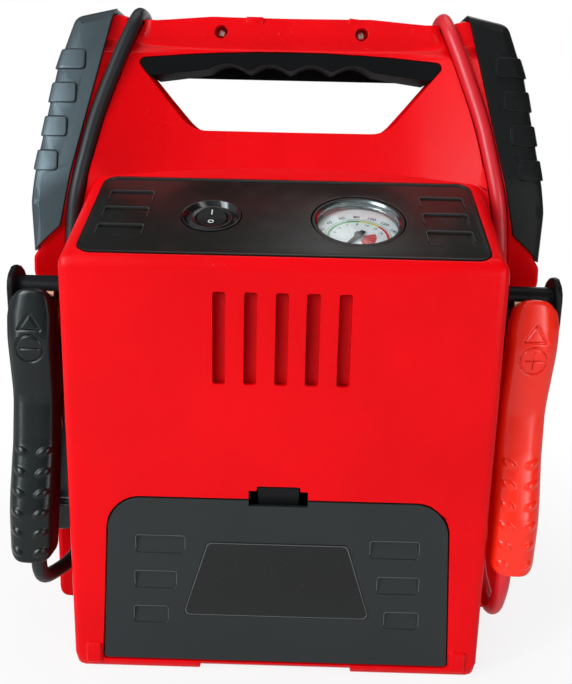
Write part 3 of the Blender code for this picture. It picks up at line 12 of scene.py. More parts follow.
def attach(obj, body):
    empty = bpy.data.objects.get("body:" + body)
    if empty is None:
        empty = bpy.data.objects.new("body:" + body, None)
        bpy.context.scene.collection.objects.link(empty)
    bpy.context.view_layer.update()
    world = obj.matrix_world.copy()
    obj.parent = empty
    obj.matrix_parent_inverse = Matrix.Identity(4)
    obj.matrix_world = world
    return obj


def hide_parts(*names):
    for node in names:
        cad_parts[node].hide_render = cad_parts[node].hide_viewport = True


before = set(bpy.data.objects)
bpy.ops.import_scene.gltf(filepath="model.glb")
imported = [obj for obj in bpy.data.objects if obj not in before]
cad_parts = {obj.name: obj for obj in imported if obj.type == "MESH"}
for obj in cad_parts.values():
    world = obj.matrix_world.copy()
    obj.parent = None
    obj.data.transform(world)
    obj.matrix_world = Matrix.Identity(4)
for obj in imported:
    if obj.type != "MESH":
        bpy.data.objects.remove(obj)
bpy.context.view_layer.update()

# ---------------------------------------------------------------- studio
# A plain white room: seamless pale floor, a big soft window light on the left,
# a weaker one on the right and one overhead. The camera stands a little above the pack's middle.
CAMERA_AT = Vector((0.005925, -0.44748, 0.26136))
CAMERA_YAW, CAMERA_DOWN, CAMERA_ROLL = -0.011028, 0.227496, 0.022385
FOCAL_MM, SENSOR_MM = 39.474, 36.0


def in_scene(name, data):
    """New object of some data, put into the scene."""
    made = bpy.data.objects.new(name, data)
    bpy.context.scene.collection.objects.link(made)
    return made


camera_data = bpy.data.cameras.new("camera")
camera_data.lens = FOCAL_MM
camera_data.sensor_width = SENSOR_MM
camera_data.clip_start = 0.01
camera = in_scene("camera", camera_data)
looking = Vector((math.sin(CAMERA_YAW) * math.cos(CAMERA_DOWN),
                  math.cos(CAMERA_YAW) * math.cos(CAMERA_DOWN), -math.sin(CAMERA_DOWN)))
camera.location = CAMERA_AT
camera.rotation_mode = "QUATERNION"
camera.rotation_quaternion = (looking.to_track_quat("-Z", "Y")
                              @ Quaternion((0.0, 0.0, 1.0), CAMERA_ROLL))
bpy.context.scene.camera = camera
bpy.context.scene.view_settings.view_transform = "Standard"

DAYLIGHT = (0.88, 0.96, 1.0)
WHITE = (1.0, 1.0, 1.0)


def soft_light(name, place, aim, size, watts, tint=WHITE):
    """Soft rectangular light with its two sides in metres, turned to a spot."""
    data = bpy.data.lights.new(name, "AREA")
    data.shape = "RECTANGLE"
    data.size, data.size_y = size
    data.energy = watts
    data.color = tint
    light = in_scene(name, data)
    light.location = place
    light.rotation_euler = (Vector(aim) - Vector(place)).to_track_quat("-Z", "Y").to_euler()


soft_light("window_left", (-1.15, -1.10, 1.0), (0.0, 0.0, 0.18), (0.8, 1.0), 22.0, DAYLIGHT)
soft_light("window_frame", (-0.95, -0.80, 0.45), (0.0, 0.0, 0.16), (0.09, 0.9), 3.2, DAYLIGHT)
soft_light("window_right", (0.95, -1.4, 0.50), (0.0, 0.0, 0.15), (0.7, 0.8), 4.5)
soft_light("right_frame", (0.75, -1.05, 0.35), (0.0, 0.0, 0.12), (0.08, 0.9), 1.6)
soft_light("overhead", (0.1, 0.1, 1.5), (0.0, 0.0, 0.2), (0.9, 0.9), 4.0)
soft_light("lamp_side", (0.5, 1.6, 0.9), (0.0, 0.0, 0.15), (1.2, 1.0), 6.0)


class Amount:
    """A number that varies over a surface; sums on it add Math nodes."""

    def __init__(self, finish, socket):
        self.finish, self.socket = finish, socket

    def sum(self, operation, first, second):
        return self.finish.amount("ShaderNodeMath", {"operation": operation}, {0: first, 1: second})

    def __add__(self, other):
        return self.sum("ADD", self, other)

    __radd__ = __add__

    def __sub__(self, other):
        return self.sum("SUBTRACT", self, other)

    def __rsub__(self, other):
        return self.sum("SUBTRACT", other, self)

    def __mul__(self, other):
        return self.sum("MULTIPLY", self, other)

    __rmul__ = __mul__

    def step(self, low, high):
        """0 below low, 1 above high, smooth between."""
        return self.finish.amount("ShaderNodeMapRange", {"interpolation_type": "SMOOTHSTEP"},
                                  {"Value": self, "From Min": low, "From Max": high})


class Finish:
    """A material in the making; node() adds a node with its settings and its sockets' values."""

    def __init__(self, name, tree=None):
        self.material = None
        if tree is None:
            self.material = bpy.data.materials.new(name)
            self.material.use_nodes = True
            tree = self.material.node_tree
        self.tree = tree

    def feed(self, socket, value):
        if isinstance(value, Amount):
            value = value.socket
        if isinstance(value, bpy.types.NodeSocket):
            self.tree.links.new(value, socket)
        elif socket.type == "RGBA" and len(value) == 3:
            socket.default_value = (*value, 1.0)
        else:
            socket.default_value = value

    def node(self, kind, settings=None, values=None):
        made = self.tree.nodes.new(kind)
        for key, value in (settings or {}).items():
            setattr(made, key, value)
        for key, value in (values or {}).items():
            self.feed(made.inputs[key], value)
        return made

    def amount(self, kind, settings=None, values=None, output=0):
        return Amount(self, self.node(kind, settings, values).outputs[output])

    def spot(self, scale=(1.0, 1.0, 1.0)):
        """Place on the piece, in metres, stretched by a scale."""
        place = self.node("ShaderNodeTexCoord").outputs["Object"]
        if scale == (1.0, 1.0, 1.0):
            return place
        return self.node("ShaderNodeMapping", None, {"Vector": place, "Scale": scale}).outputs[0]

    def noise(self, place, scale, detail=2.0):
        return self.amount("ShaderNodeTexNoise", None,
                           {"Vector": place, "Scale": scale, "Detail": detail})

    def blend(self, share, first, second):
        made = self.node("ShaderNodeMix", {"data_type": "RGBA"}, {0: share, 6: first, 7: second})
        return made.outputs[2]

    def bump(self, height, distance, strength=1.0, below=None):
        values = {"Height": height, "Distance": distance, "Strength": strength}
        if below is not None:
            values["Normal"] = below
        return self.node("ShaderNodeBump", None, values).outputs[0]

    def surface(self, **values):
        """Sets the Principled shader: base_color=... is its socket Base Color."""
        shader = self.tree.nodes["Principled BSDF"]
        for key, value in values.items():
            word = " ".join(part if part == "IOR" else part.capitalize() for part in key.split("_"))
            self.feed(shader.inputs[word], value)
        return self.material


# The floor looks plain white far away. Round the pack it keeps some of its shade, for the shadow.
FLOOR_BACK, FLOOR_DROP = 3.0, 0.0004
NEAR_GLOW, MIRRORED_GLOW = 0.85, 0.35
paper = Finish("studio_floor")
light_path = paper.node("ShaderNodeLightPath").outputs
seen = (Amount(paper, light_path["Is Camera Ray"])
        + Amount(paper, light_path["Is Glossy Ray"]) * MIRRORED_GLOW
        + Amount(paper, light_path["Is Transmission Ray"]))
pale = paper.surface(base_color=(0.82, 0.82, 0.82), roughness=0.9, specular_IOR_level=0.0)
glow = paper.node("ShaderNodeEmission", None, {"Color": WHITE, "Strength": 1.0})
apart = paper.amount("ShaderNodeVectorMath", {"operation": "DISTANCE"},
                     {0: paper.spot(), 1: (0.0, -FLOOR_BACK, 0.0)}, "Value")
share = seen * (apart.step(0.10, 0.40) * (1.0 - NEAR_GLOW) + NEAR_GLOW)
mixed = paper.node("ShaderNodeMixShader", None, {
    0: share, 1: paper.tree.nodes["Principled BSDF"].outputs[0], 2: glow.outputs[0]})
paper.tree.links.new(mixed.outputs[0], paper.tree.nodes["Material Output"].inputs["Surface"])

bpy.ops.mesh.primitive_plane_add(size=14.0, location=(0.0, FLOOR_BACK, -FLOOR_DROP))
floor = bpy.context.active_object
floor.name = "floor"
floor.data.materials.append(pale)

# The room is brighter towards the left window, and plain white where the camera looks.
room = bpy.data.worlds.new("room")
bpy.context.scene.world = room
room.use_nodes = True
air = Finish("room", room.node_tree)
light_path = air.node("ShaderNodeLightPath").outputs
toward = air.node("ShaderNodeSeparateXYZ", None,
                  {0: air.node("ShaderNodeTexCoord").outputs["Generated"]}).outputs
window = (Amount(air, toward["X"]) * -0.8 - Amount(air, toward["Y"]) * 0.45
          + Amount(air, toward["Z"]) * 0.35).step(0.1, 0.9)
open_air = window * 0.50 + 0.07
seen = Amount(air, light_path["Is Camera Ray"]) + Amount(air, light_path["Is Transmission Ray"])
mirrored = Amount(air, light_path["Is Glossy Ray"]) * open_air * 0.15
backdrop = room.node_tree.nodes["Background"]
sky = window * (1.0 - seen)
air.feed(backdrop.inputs["Color"], air.blend(sky, WHITE, (0.80, 0.91, 1.0)))
air.feed(backdrop.inputs["Strength"], open_air * (1.0 - seen) + seen + mirrored)

# ---------------------------------------------------------------- leads
# Two flexible 8 mm leads in soft rubber, black and red. Each leaves a gland on the lamp side, lies
# in a moulded groove up and over the handle's end, down the compressor side and into its clamp.
# HELD is the right-hand groove from the gland up, over and down; LOOPS run on into the clamps.
LEAD_WIDE = 0.0078
HELD = [(0.1170, 0.0965, 0.0943), (0.1170, 0.0965, 0.1123), (0.1168, 0.0965, 0.1423),
        (0.1160, 0.0953, 0.1723), (0.1128, 0.08478, 0.2023), (0.1078, 0.06602, 0.2343),
        (0.1020, 0.04667, 0.2673), (0.0955, 0.02875, 0.3003), (0.0905, 0.03177, 0.3243),
        (0.0876, 0.03141, 0.3383), (0.0865, 0.0270, 0.3443), (0.0862, 0.0185, 0.3453),
        (0.0864, 0.0080, 0.3441), (0.0882, -0.00037, 0.3373), (0.0932, -0.00616, 0.3243),
        (0.1003, -0.01321, 0.3043), (0.1060, -0.01956, 0.2863), (0.1106, -0.02632, 0.2663),
        (0.1145, -0.03069, 0.2483), (0.1172, -0.03119, 0.2303), (0.1185, -0.03183, 0.2073),
        (0.1185, -0.03335, 0.1523), (0.1185, -0.03373, 0.1023), (0.1185, -0.03356, 0.0723)]
LOOPS = {
    "black": [(-0.1185, -0.0367, 0.0573), (-0.1172, -0.0430, 0.0478), (-0.1165, -0.0535, 0.0435),
              (-0.1185, -0.0655, 0.0425), (-0.1232, -0.0775, 0.0428), (-0.1250, -0.0860, 0.0463),
              (-0.12528, -0.09073, 0.05432), (-0.12505, -0.09029, 0.06431)],
    "red": [(0.1184, -0.0370, 0.0493), (0.1186, -0.0455, 0.0333), (0.1188, -0.0595, 0.0268),
            (0.1186, -0.0715, 0.0263), (0.1183, -0.0815, 0.0333), (0.1182, -0.0880, 0.0453),
            (0.11822, -0.09073, 0.05448), (0.11848, -0.09029, 0.06447)]}
DUST = (0.55, 0.50, 0.48)


def plastic(name, colour, roughness, gloss=0.25, tone=0.10, grain=0.00001, grain_scale=2200.0,
            dust=0.0, smears=0.06, sheen=WHITE, shape=None):
    """Moulded plastic: slow drifts of tone, fine moulded grain, wiped smears and a few dust specks.

    sheen tints its reflections, and shape gives it swells and hollows, as heights in metres.
    """
    finish = Finish(name)
    place = finish.spot()
    drift = finish.noise(place, 14.0, 3.0)
    fine = finish.noise(place, grain_scale, 2.0)
    wiped = finish.noise(finish.spot((30.0, 30.0, 7.0)), 3.0, 4.0).step(0.45, 0.75)
    darker = tuple(c * (1.0 - tone) for c in colour)
    lighter = tuple(min(1.0, c * (1.0 + tone)) for c in colour)
    shade = finish.blend(drift.step(0.3, 0.7), darker, lighter)
    if dust:
        specks = finish.noise(place, 1500.0, 0.0).step(0.80, 0.86)
        shade = finish.blend(specks * dust, shade, DUST)
    rough = wiped * smears + fine * 0.06 + (roughness - 0.03)
    broad = finish.bump(shape(finish), 1.0) if shape else None
    return finish.surface(base_color=shade, roughness=rough, specular_IOR_level=gloss,
                          specular_tint=sheen, normal=finish.bump(fine, grain, below=broad))


def place_shape(piece, matrix):
    """Moves a piece's mesh, and leaves its object at the origin."""
    piece.data.transform(matrix)
    if matrix.determinant() < 0:
        piece.data.flip_normals()
    return piece


def wear(piece, material):
    """Gives a piece one finish, in place of any other."""
    piece.data.materials.clear()
    piece.data.materials.append(material)
    return piece


def own(piece, body, slot, *nodes):
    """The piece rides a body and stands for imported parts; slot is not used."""
    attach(piece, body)
    if nodes:
        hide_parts(*nodes)
    return piece


def run_through(points, spacing=0.003):
    """Evenly spaced points on a smooth curve through the chosen ones."""
    points = [Vector(p) for p in points]
    ends = [points[0] * 2 - points[1], *points, points[-1] * 2 - points[-2]]
    line = []
    for a, b, c, d in zip(ends, ends[1:], ends[2:], ends[3:]):
        count = max(2, math.ceil((c - b).length / spacing))
        for k in range(count):
            t = k / count
            line.append(0.5 * (b * 2 + (c - a) * t + (a * 2 - b * 5 + c * 4 - d) * t ** 2
                               + (b * 3 - a - c * 3 + d) * t ** 3))
    return [*line, points[-1]]


black_rubber = plastic("black_rubber", (0.014, 0.015, 0.017), 0.42, gloss=0.32, grain_scale=1500.0)
red_rubber = plastic("red_rubber", (0.62, 0.012, 0.02), 0.36, gloss=0.45, grain_scale=1500.0)
for word, sign, finish, slot_name in (("black", -1.0, black_rubber, "black_rubber"),
                                      ("red", 1.0, red_rubber, "red_lead")):
    line = run_through([(sign * x, y, z) for x, y, z in HELD] + LOOPS[word])
    data = bpy.data.curves.new(word + "_lead_tube", "CURVE")
    data.dimensions = "3D"
    data.bevel_depth = LEAD_WIDE / 2
    data.bevel_resolution = 6
    data.use_fill_caps = True
    spline = data.splines.new("POLY")
    spline.points.add(len(line) - 1)
    for point, spot in zip(spline.points, line):
        point.co = (*spot, 1.0)
    lead = in_scene(word + "_lead_tube", data)
    own(wear(lead, finish), "pack", slot_name, word + "_lead")
    sum((q - p).length for p, q in zip(line, line[1:]))

# ---------------------------------------------------------------- red half shells
# Two injection-moulded shells in glossy red plastic meet in the handle's middle and hold the
# battery. Their edges are broken by a hair, and the moulded faces drift a little in tone.


def rounded(corners, fine=math.radians(4.0)):
    """Outline through corners (u, v) or (u, v, radius), with a fine arc at each radius."""
    points = []
    for index, corner in enumerate(corners):
        here = Vector(corner[:2])
        radius = corner[2] if len(corner) > 2 else 0.0
        back = (Vector(corners[index - 1][:2]) - here).normalized()
        ahead = (Vector(corners[(index + 1) % len(corners)][:2]) - here).normalized()
        turn = back.angle_signed(ahead)
        bend = math.pi - abs(turn)
        if radius <= 0.0 or bend < 0.001:
            points.append(tuple(here))
            continue
        start = here + back * radius * math.tan(bend / 2)
        centre = here + (back + ahead).normalized() * (radius / math.cos(bend / 2))
        steps = max(3, math.ceil(bend / fine))
        for i in range(steps + 1):
            arm = start - centre
            arm.rotate(Matrix.Rotation(math.copysign(bend, turn) * i / steps, 2))
            points.append(tuple(centre + arm))
    return points


def pick(piece):
    """Selects one piece alone and makes it the active one."""
    bpy.ops.object.select_all(action="DESELECT")
    bpy.context.view_layer.objects.active = piece
    piece.select_set(True)
    return piece


def mesh_piece(name, points, lines, faces):
    """New piece made of points, lines and faces, picked and ready to be worked on."""
    mesh = bpy.data.meshes.new(name)
    mesh.from_pydata(points, lines, faces)
    return pick(in_scene(name, mesh))


def outline_piece(name, points):
    """New piece that is only a closed outline."""
    return mesh_piece(name, points, [(i, (i + 1) % len(points)) for i in range(len(points))], [])


def edit_all():
    """Goes to edit mode, with all of the active piece selected."""
    bpy.ops.object.mode_set(mode="EDIT")
    bpy.ops.mesh.select_all(action="SELECT")


def turn_faces_out():
    """Points the active piece's faces outwards, and goes back to object mode."""
    edit_all()
    bpy.ops.mesh.normals_make_consistent(inside=False)
    bpy.ops.object.mode_set(mode="OBJECT")


def reshape(piece, kind, **settings):
    """Runs a modifier on a piece, with its settings."""
    step = piece.modifiers.new("step", kind)
    for key, value in settings.items():
        setattr(step, key, value)
    bpy.context.view_layer.objects.active = piece
    bpy.ops.object.modifier_apply(modifier=step.name)


def slab(name, outline, low, high, matrix):
    """Flat piece of an outline in its own XY plane, between two heights, placed by a matrix."""
    made = outline_piece(name, [(u, v, low) for u, v in outline])
    edit_all()
    bpy.ops.mesh.edge_face_add()
    bpy.ops.mesh.extrude_region_move(TRANSFORM_OT_translate={"value": (0.0, 0.0, high - low)})
    turn_faces_out()
    return place_shape(made, matrix)


def upright(name, corners, near, far):
    """Slab whose outline is in X and Z, between two Y values."""
    return slab(name, rounded(corners), -far, -near, Matrix.Rotation(math.pi / 2, 4, "X"))


def both_sides(half):
    """Full outline from its right half, run bottom to top."""
    return half + [(-corner[0], *corner[1:]) for corner in reversed(half) if abs(corner[0]) > 0.0]


def cut_out(piece, *cutters):
    """Cuts shapes out of a piece, exactly, and removes the shapes."""
    for cutter in cutters:
        reshape(piece, "BOOLEAN", operation="DIFFERENCE", solver="EXACT", object=cutter)
        bpy.data.objects.remove(cutter, do_unlink=True)
    return piece


def softened(piece, material, rim, steps=2, angle=32.0):
    """Breaks a piece's sharp edges, shades it smooth and gives it its finish."""
    pick(piece)
    if rim:
        reshape(piece, "BEVEL", width=rim, segments=steps, limit_method="ANGLE",
                angle_limit=math.radians(angle), use_clamp_overlap=False, harden_normals=False)
    bpy.ops.object.shade_smooth_by_angle(angle=math.radians(angle + 8.0))
    reshape(piece, "WEIGHTED_NORMAL", keep_sharp=True)
    return wear(piece, material)


OFF_EDGE = 0.37


def refined(name, node, material, rim=0.0004, cell=0.0, cutters=()):
    """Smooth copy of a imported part: seams merged, shapes cut out, sharp edges broken.

    Wide flat faces are first divided into cells, so that no sliver spoils the broken edges. The
    cells' lines are moved back by OFF_EDGE of a cell, so that they seldom meet an edge.
    """
    piece = pick(in_scene(name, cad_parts[node].data.copy()))
    bpy.ops.mesh.customdata_custom_splitnormals_clear()
    edit_all()
    bpy.ops.mesh.remove_doubles(threshold=0.00001)
    bpy.ops.object.mode_set(mode="OBJECT")
    cut_out(piece, *cutters)
    if cell:
        piece.select_set(True)
        bpy.ops.object.mode_set(mode="EDIT")
        spots = [vertex.co.copy() for vertex in piece.data.vertices]
        for axis in (0, 1, 2):
            low, high = min(s[axis] for s in spots), max(s[axis] for s in spots)
            for k in range(1, math.ceil((high - low) / cell)):
                at, facing = [0.0] * 3, [0.0] * 3
                at[axis], facing[axis] = low + cell * (k - OFF_EDGE), 1.0
                bpy.ops.mesh.select_all(action="SELECT")
                bpy.ops.mesh.bisect(plane_co=at, plane_no=facing, threshold=0.000001)
                bpy.ops.mesh.mark_seam(clear=False)
        bpy.ops.mesh.select_all(action="SELECT")
        bpy.ops.mesh.dissolve_limited(angle_limit=math.radians(0.2), delimit={"SEAM"})
        bpy.ops.mesh.select_all(action="SELECT")
        bpy.ops.mesh.mark_seam(clear=True)
        bpy.ops.object.mode_set(mode="OBJECT")
    return softened(piece, material, rim)


RED = (0.75, 0.0012, 0.0040)
GROUND, COVER_Y = 0.0023, -0.0995
HANDLE_FOOT, HANDLE_CREST, HANDLE_END, HANDLE_CROWN = 0.3280, 0.3425, 0.088, 0.0021
WING_START, WING_HOLLOW = 0.045, 2.8


def handle_and_wings(finish):
    """The handle's compressor side is rounded; the wings beside the hand opening are hollow."""
    place = finish.node("ShaderNodeSeparateXYZ", None, {0: finish.spot()}).outputs
    across = finish.amount("ShaderNodeMath", {"operation": "ABSOLUTE"}, {0: place["X"]})
    up = Amount(finish, place["Z"])
    handle = (up.step(HANDLE_FOOT - 0.0025, HANDLE_FOOT)
              * (1.0 - across.step(HANDLE_END - 0.010, HANDLE_END)))
    centimetres = (up - HANDLE_CREST) * 100.0
    crown = (2.1 - centimetres * centimetres) * HANDLE_CROWN
    outside = finish.amount("ShaderNodeMath", {"operation": "MAXIMUM"},
                            {0: across - WING_START, 1: 0.0})
    wings = outside * outside * (1.0 - up.step(0.322, 0.330)) * WING_HOLLOW
    return crown * handle + wings


scoop_red = plastic("scoop_red", RED, 0.30, gloss=0.10, tone=0.05, dust=0.10,
                    shape=handle_and_wings)
wall_red = plastic("wall_red", RED, 0.6, gloss=0.0, tone=0.05)
red_shell = plastic("red_shell", RED, 0.30, gloss=0.10, tone=0.05, dust=0.10)
# The hand opening: its floor's and its shoulders' corners, under an arch of a wide radius.
OPENING_FLOOR = (0.0546, GROUND + 0.2787, 0.019)
OPENING_SHOULDER = (0.0872, GROUND + 0.3176, 0.003)
OPENING_ARCH = (0.0, GROUND + 0.3282, 0.646)
# The shells' walls within these bounds are the opening's own, and are duller.
WALLS_HALF, WALLS_LOW, WALLS_TOP = 0.092, 0.279, 0.333
for name, node, finish in (("rear_shell", "rear_housing", scoop_red),
                           ("front_shell", "front_housing", red_shell)):
    opening = upright("hand_opening",
                      both_sides([OPENING_FLOOR, OPENING_SHOULDER, OPENING_ARCH]), -0.06, 0.11)
    shell = refined(name, node, finish, cell=0.016, cutters=[opening])
    shell.data.materials.append(wall_red)
    for face in shell.data.polygons:
        beside_hand = (abs(face.center.x) < WALLS_HALF
                       and WALLS_LOW < face.center.z < WALLS_TOP)
        if beside_hand and abs(face.normal.y) < 0.5:
            face.material_index = 1
    own(shell, "pack", "red_housing", node)

# ---------------------------------------------------------------- grip, screws, armour and pads
# The finger grip is black plastic with scallops. The armour and side pads are tough textured black
# plastic clipped on the shoulders. Two pan-head screws sit at the bottom of wells in the handle.


def skin(name, node, body, slot, material, rim=0.0004, **more):
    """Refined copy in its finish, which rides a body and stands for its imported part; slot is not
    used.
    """
    own(refined(name, node, material, rim, **more), body, slot, node)


grip_black = plastic("grip_black", (0.0060, 0.0062, 0.0064), 0.36, gloss=0.12)
COARSE = {"tone": 0.08, "grain": 0.00004, "grain_scale": 1300.0, "dust": 0.10}
# Left armour and pad: a lit copy of the armour's finish, bluer and glossier with bluish
# reflections, a painted sheen from the window side.
armour_black = plastic("armour_black", (0.0065, 0.0085, 0.0105), 0.38, gloss=0.85,
                       sheen=(0.74, 0.93, 1.0), **COARSE)
finger_black = plastic("finger_black", (0.0055, 0.0056, 0.0058), 0.6, gloss=0.03)
skin("finger_grip", "handle_grip", "pack", "black_plastic", finger_black)
# Right armour and pad: a shaded copy of the same finish, greyer and duller, painted shade.
armour_shaded_copy = plastic("armour_shaded_copy", (0.0055, 0.0058, 0.0058), 0.46, gloss=0.16, **COARSE)
for word, finish in (("left", armour_black), ("right", armour_shaded_copy)):
    skin(f"armour_{word}_skin", "armour_" + word, "pack", "textured_black", finish, 0.0005)
    skin(f"side_pad_{word}_skin", "side_pad_" + word, "pack", "textured_black", finish, 0.0003)


def metal(name, bright, dull, roughness):
    """Bare metal: handled, with duller drifts and fine turning or rolling marks."""
    finish = Finish(name)
    worn = finish.noise(finish.spot(), 700.0, 3.0)
    marks = finish.noise(finish.spot((1.0, 1.0, 14.0)), 900.0, 1.0)
    return finish.surface(base_color=finish.blend(worn.step(0.45, 0.7), bright, dull),
                          metallic=1.0, roughness=worn * 0.15 + (roughness - 0.05),
                          normal=finish.bump(marks, 0.00001))


def brick(name, size, matrix, rim=0.0):
    """Block of a size, with its edges rounded by rim, placed by a matrix."""
    bpy.ops.object.select_all(action="DESELECT")
    bpy.ops.mesh.primitive_cube_add(size=1.0)
    made = bpy.context.active_object
    made.name = name
    made.data.transform(Matrix.Diagonal((*size, 1.0)))
    if rim:
        edit_all()
        bpy.ops.mesh.bevel(offset=rim, segments=2, affect="EDGES")
        bpy.ops.object.mode_set(mode="OBJECT")
        bpy.ops.object.shade_smooth_by_angle(angle=math.radians(40.0))
    return place_shape(made, matrix)


SCREW_SPOT = (0.040, 0.01278, 0.3363)
RECESS_LONG, RECESS_DEEP, RECESS_WIDE = 0.0036, 0.0018, 0.0008
screw_steel = metal("screw_steel", (0.62, 0.56, 0.47), (0.28, 0.20, 0.14), 0.30)
for word, sign in (("left", -1.0), ("right", 1.0)):
    screw = refined(f"pan_screw_{word}", "handle_screw_" + word, screw_steel, 0.0)
    centre = Matrix.Translation((sign * SCREW_SPOT[0], *SCREW_SPOT[1:]))
    turn = centre @ Matrix.Rotation(math.radians(27.0 * sign), 4, "Y")
    cut_out(screw, brick("recess", (RECESS_LONG, RECESS_DEEP, RECESS_WIDE), turn),
            brick("recess", (RECESS_WIDE, RECESS_DEEP, RECESS_LONG), turn))
    own(screw, "pack", "steel", "handle_screw_" + word)

# Low pads moulded on top of the handle, over the rear shell's edge, each with its place across
# the pack, its width and its top. Those away from the middle lean with the arch.
PAD_LEAN, PAD_TALL, PAD_SUNK = math.radians(5.5), 0.0050, 0.0030
for index, (x, wide, top) in enumerate(((-0.0690, 0.0080, 0.3421), (-0.0445, 0.0070, 0.3448),
                                        (-0.0210, 0.0100, 0.3456), (0.0370, 0.0090, 0.3454),
                                        (0.0610, 0.0075, 0.3432), (0.0790, 0.0060, 0.3419))):
    lean = math.copysign(PAD_LEAN, x) if abs(x) > 0.03 else 0.0
    spot = Matrix.Translation((x, 0.0150, top - PAD_SUNK)) @ Matrix.Rotation(lean, 4, "Y")
    pad = brick(f"handle_pad_{index}", (wide, 0.0100, PAD_TALL), spot, 0.0006)
    own(wear(pad, red_shell), "pack", "red_housing")

# ---------------------------------------------------------------- compressor cover
# One deep red moulding screwed to the compressor side, with five vent slots. Behind each slot
# stands a slanted louvre, which shades off towards its deeper edge; the louvres' red is darker than
# the cover's, painted shade of the slots.
# The door's lower and upper corner: how far out, how far up, and the radius of its corner.
DOOR_CORNERS = ((0.0902, 0.005, 0.002), (0.0853, 0.0965, 0.018))
DOOR_FIT = 0.0007
VENT_PITCH, VENT_HALF, VENT_LOW, VENT_TOP, VENT_ROUND = 0.015, 0.00305, 0.1567, 0.2018, 0.0013
VENT_PLACES = [VENT_PITCH * step for step in (-2, -1, 0, 1, 2)]
cover_red = plastic("cover_red", RED, 0.28, gloss=0.10, tone=0.05, dust=0.10)
(half_low, door_low, low_arc), (half_top, door_top, top_arc) = DOOR_CORNERS
door_hole = upright("door_hole", both_sides([
    (half_low + DOOR_FIT, GROUND + door_low - DOOR_FIT * 1.6, low_arc),
    (half_top + DOOR_FIT, GROUND + door_top + DOOR_FIT, top_arc)]),
    COVER_Y - 0.01, COVER_Y + 0.008)
slots = [upright("slot", [(x - VENT_HALF, GROUND + VENT_LOW, VENT_ROUND),
                          (x + VENT_HALF, GROUND + VENT_LOW, VENT_ROUND),
                          (x + VENT_HALF, GROUND + VENT_TOP, VENT_ROUND),
                          (x - VENT_HALF, GROUND + VENT_TOP, VENT_ROUND)],
                 COVER_Y - 0.01, COVER_Y + 0.006) for x in VENT_PLACES]
skin("cover_shell", "compressor_cover", "pack", "red_housing", cover_red, cell=0.0137,
     cutters=[door_hole, *slots])
# Louvre red, darker than the cover's: painted shade inside the slots.
louvre_shade_red = plastic("louvre_shade_red", (0.55, 0.001, 0.003), 0.4, gloss=0.08)
LOUVRE_SIZE, LOUVRE_LEAN = (0.0084, 0.0010, 0.0465), math.radians(-12.0)
LOUVRE_ASIDE, LOUVRE_IN, LOUVRE_UP = 0.0002, 0.0045, 0.1793
for index, x in enumerate(VENT_PLACES):
    louvre = brick(f"vent_louvre_{index}", LOUVRE_SIZE,
                   Matrix.Translation((x + LOUVRE_ASIDE, COVER_Y + LOUVRE_IN, GROUND + LOUVRE_UP))
                   @ Matrix.Rotation(LOUVRE_LEAN, 4, "Z"), 0.0003)
    own(wear(louvre, louvre_shade_red), "pack", "red_housing")

# ---------------------------------------------------------------- control panel, gauge and switch
# A semi-gloss black plate let into the cover's sloping top. The gauge sits deep behind a clear
# lens with a bright stepped collar. The compressor's round rocker sits in a dished ring.
PANEL_TILT = math.radians(26.9)
RECESS_TOPS = (0.0622, 0.0454, 0.0286)
RECESS_INNER, RECESS_OUTER, RECESS_TALL = 0.0698, 0.0922, 0.0124
PANEL = Matrix.Translation((0.0, COVER_Y, 0.2199)) @ Matrix.Rotation(PANEL_TILT, 4, "X")
control_black = plastic("control_black", (0.0066, 0.0070, 0.0060), 0.20, gloss=0.32, tone=0.05,
                        dust=0.06)


def block(name, left, right, low, top, arc, bottom, height, matrix):
    """Slab over a rectangle with rounded corners, between two heights, placed by a matrix."""
    outline = rounded([(left, low, arc), (right, low, arc), (right, top, arc), (left, top, arc)])
    return slab(name, outline, bottom, height, matrix)


def edges(side, inner, outer):
    """Left and right edge of what lies between two distances from the middle, on one side."""
    return sorted((side * inner, side * outer))


recesses = [(*edges(side, RECESS_INNER, RECESS_OUTER), top - RECESS_TALL, top)
            for side in (-1, 1) for top in RECESS_TOPS]
skin("panel_plate", "control_panel", "pack", "black_plastic", control_black, cell=0.012,
     cutters=[block("thumb_recess", *recess, 0.0015, -0.0009, 0.002, PANEL)
              for recess in recesses])


def joined(name, pieces):
    """Several meshes as one piece."""
    made = pick(pieces[0])
    for piece in pieces:
        piece.select_set(True)
    bpy.ops.object.join()
    made.name = name
    return made


LIP_WIDE, LIP_PROUD = 0.00035, 0.0002


def lip(name, left, right, low, top, matrix, material):
    """Raised hairline lip round a thumb recess, left open at its lower end."""
    gap = brick("gap", (right - left + 0.004, (top - low) * 0.5, 0.004),
                matrix @ Matrix.Translation(((left + right) / 2.0, low, 0.0)))
    made = cut_out(block(name, left - LIP_WIDE, right + LIP_WIDE, low - LIP_WIDE, top + LIP_WIDE,
                         0.0018, -0.0001, LIP_PROUD, matrix),
                   block("recess", left, right, low, top, 0.0014, -0.001, 0.001, matrix), gap)
    return wear(made, material)


# The lips are much lighter than the plate: a painted highlight along the thumb recesses' edges.
lip_highlight_black = plastic("lip_highlight_black", (0.040, 0.043, 0.042), 0.3, gloss=0.4)
own(joined("panel_lips", [lip("panel_lip", *recess, PANEL, lip_highlight_black) for recess in recesses]),
    "pack", "black_plastic")
skin("gauge_housing", "gauge_case", "pack", "black_plastic", control_black, 0.0002)

DIAL = PANEL @ Matrix.Translation((0.0368, 0.0382, -0.00615))
PIVOT_DOWN = 0.0070


def turned_ring(name, profile, matrix, material, steps=72):
    """Ring turned from a closed section of (radius, height)."""
    made = outline_piece(name, [(radius, 0.0, height) for radius, height in profile])
    reshape(made, "SCREW", steps=steps, render_steps=steps, use_merge_vertices=True,
            merge_threshold=0.00001)
    turn_faces_out()
    bpy.ops.object.shade_smooth_by_angle(angle=math.radians(30.0))
    return place_shape(wear(made, material), matrix)


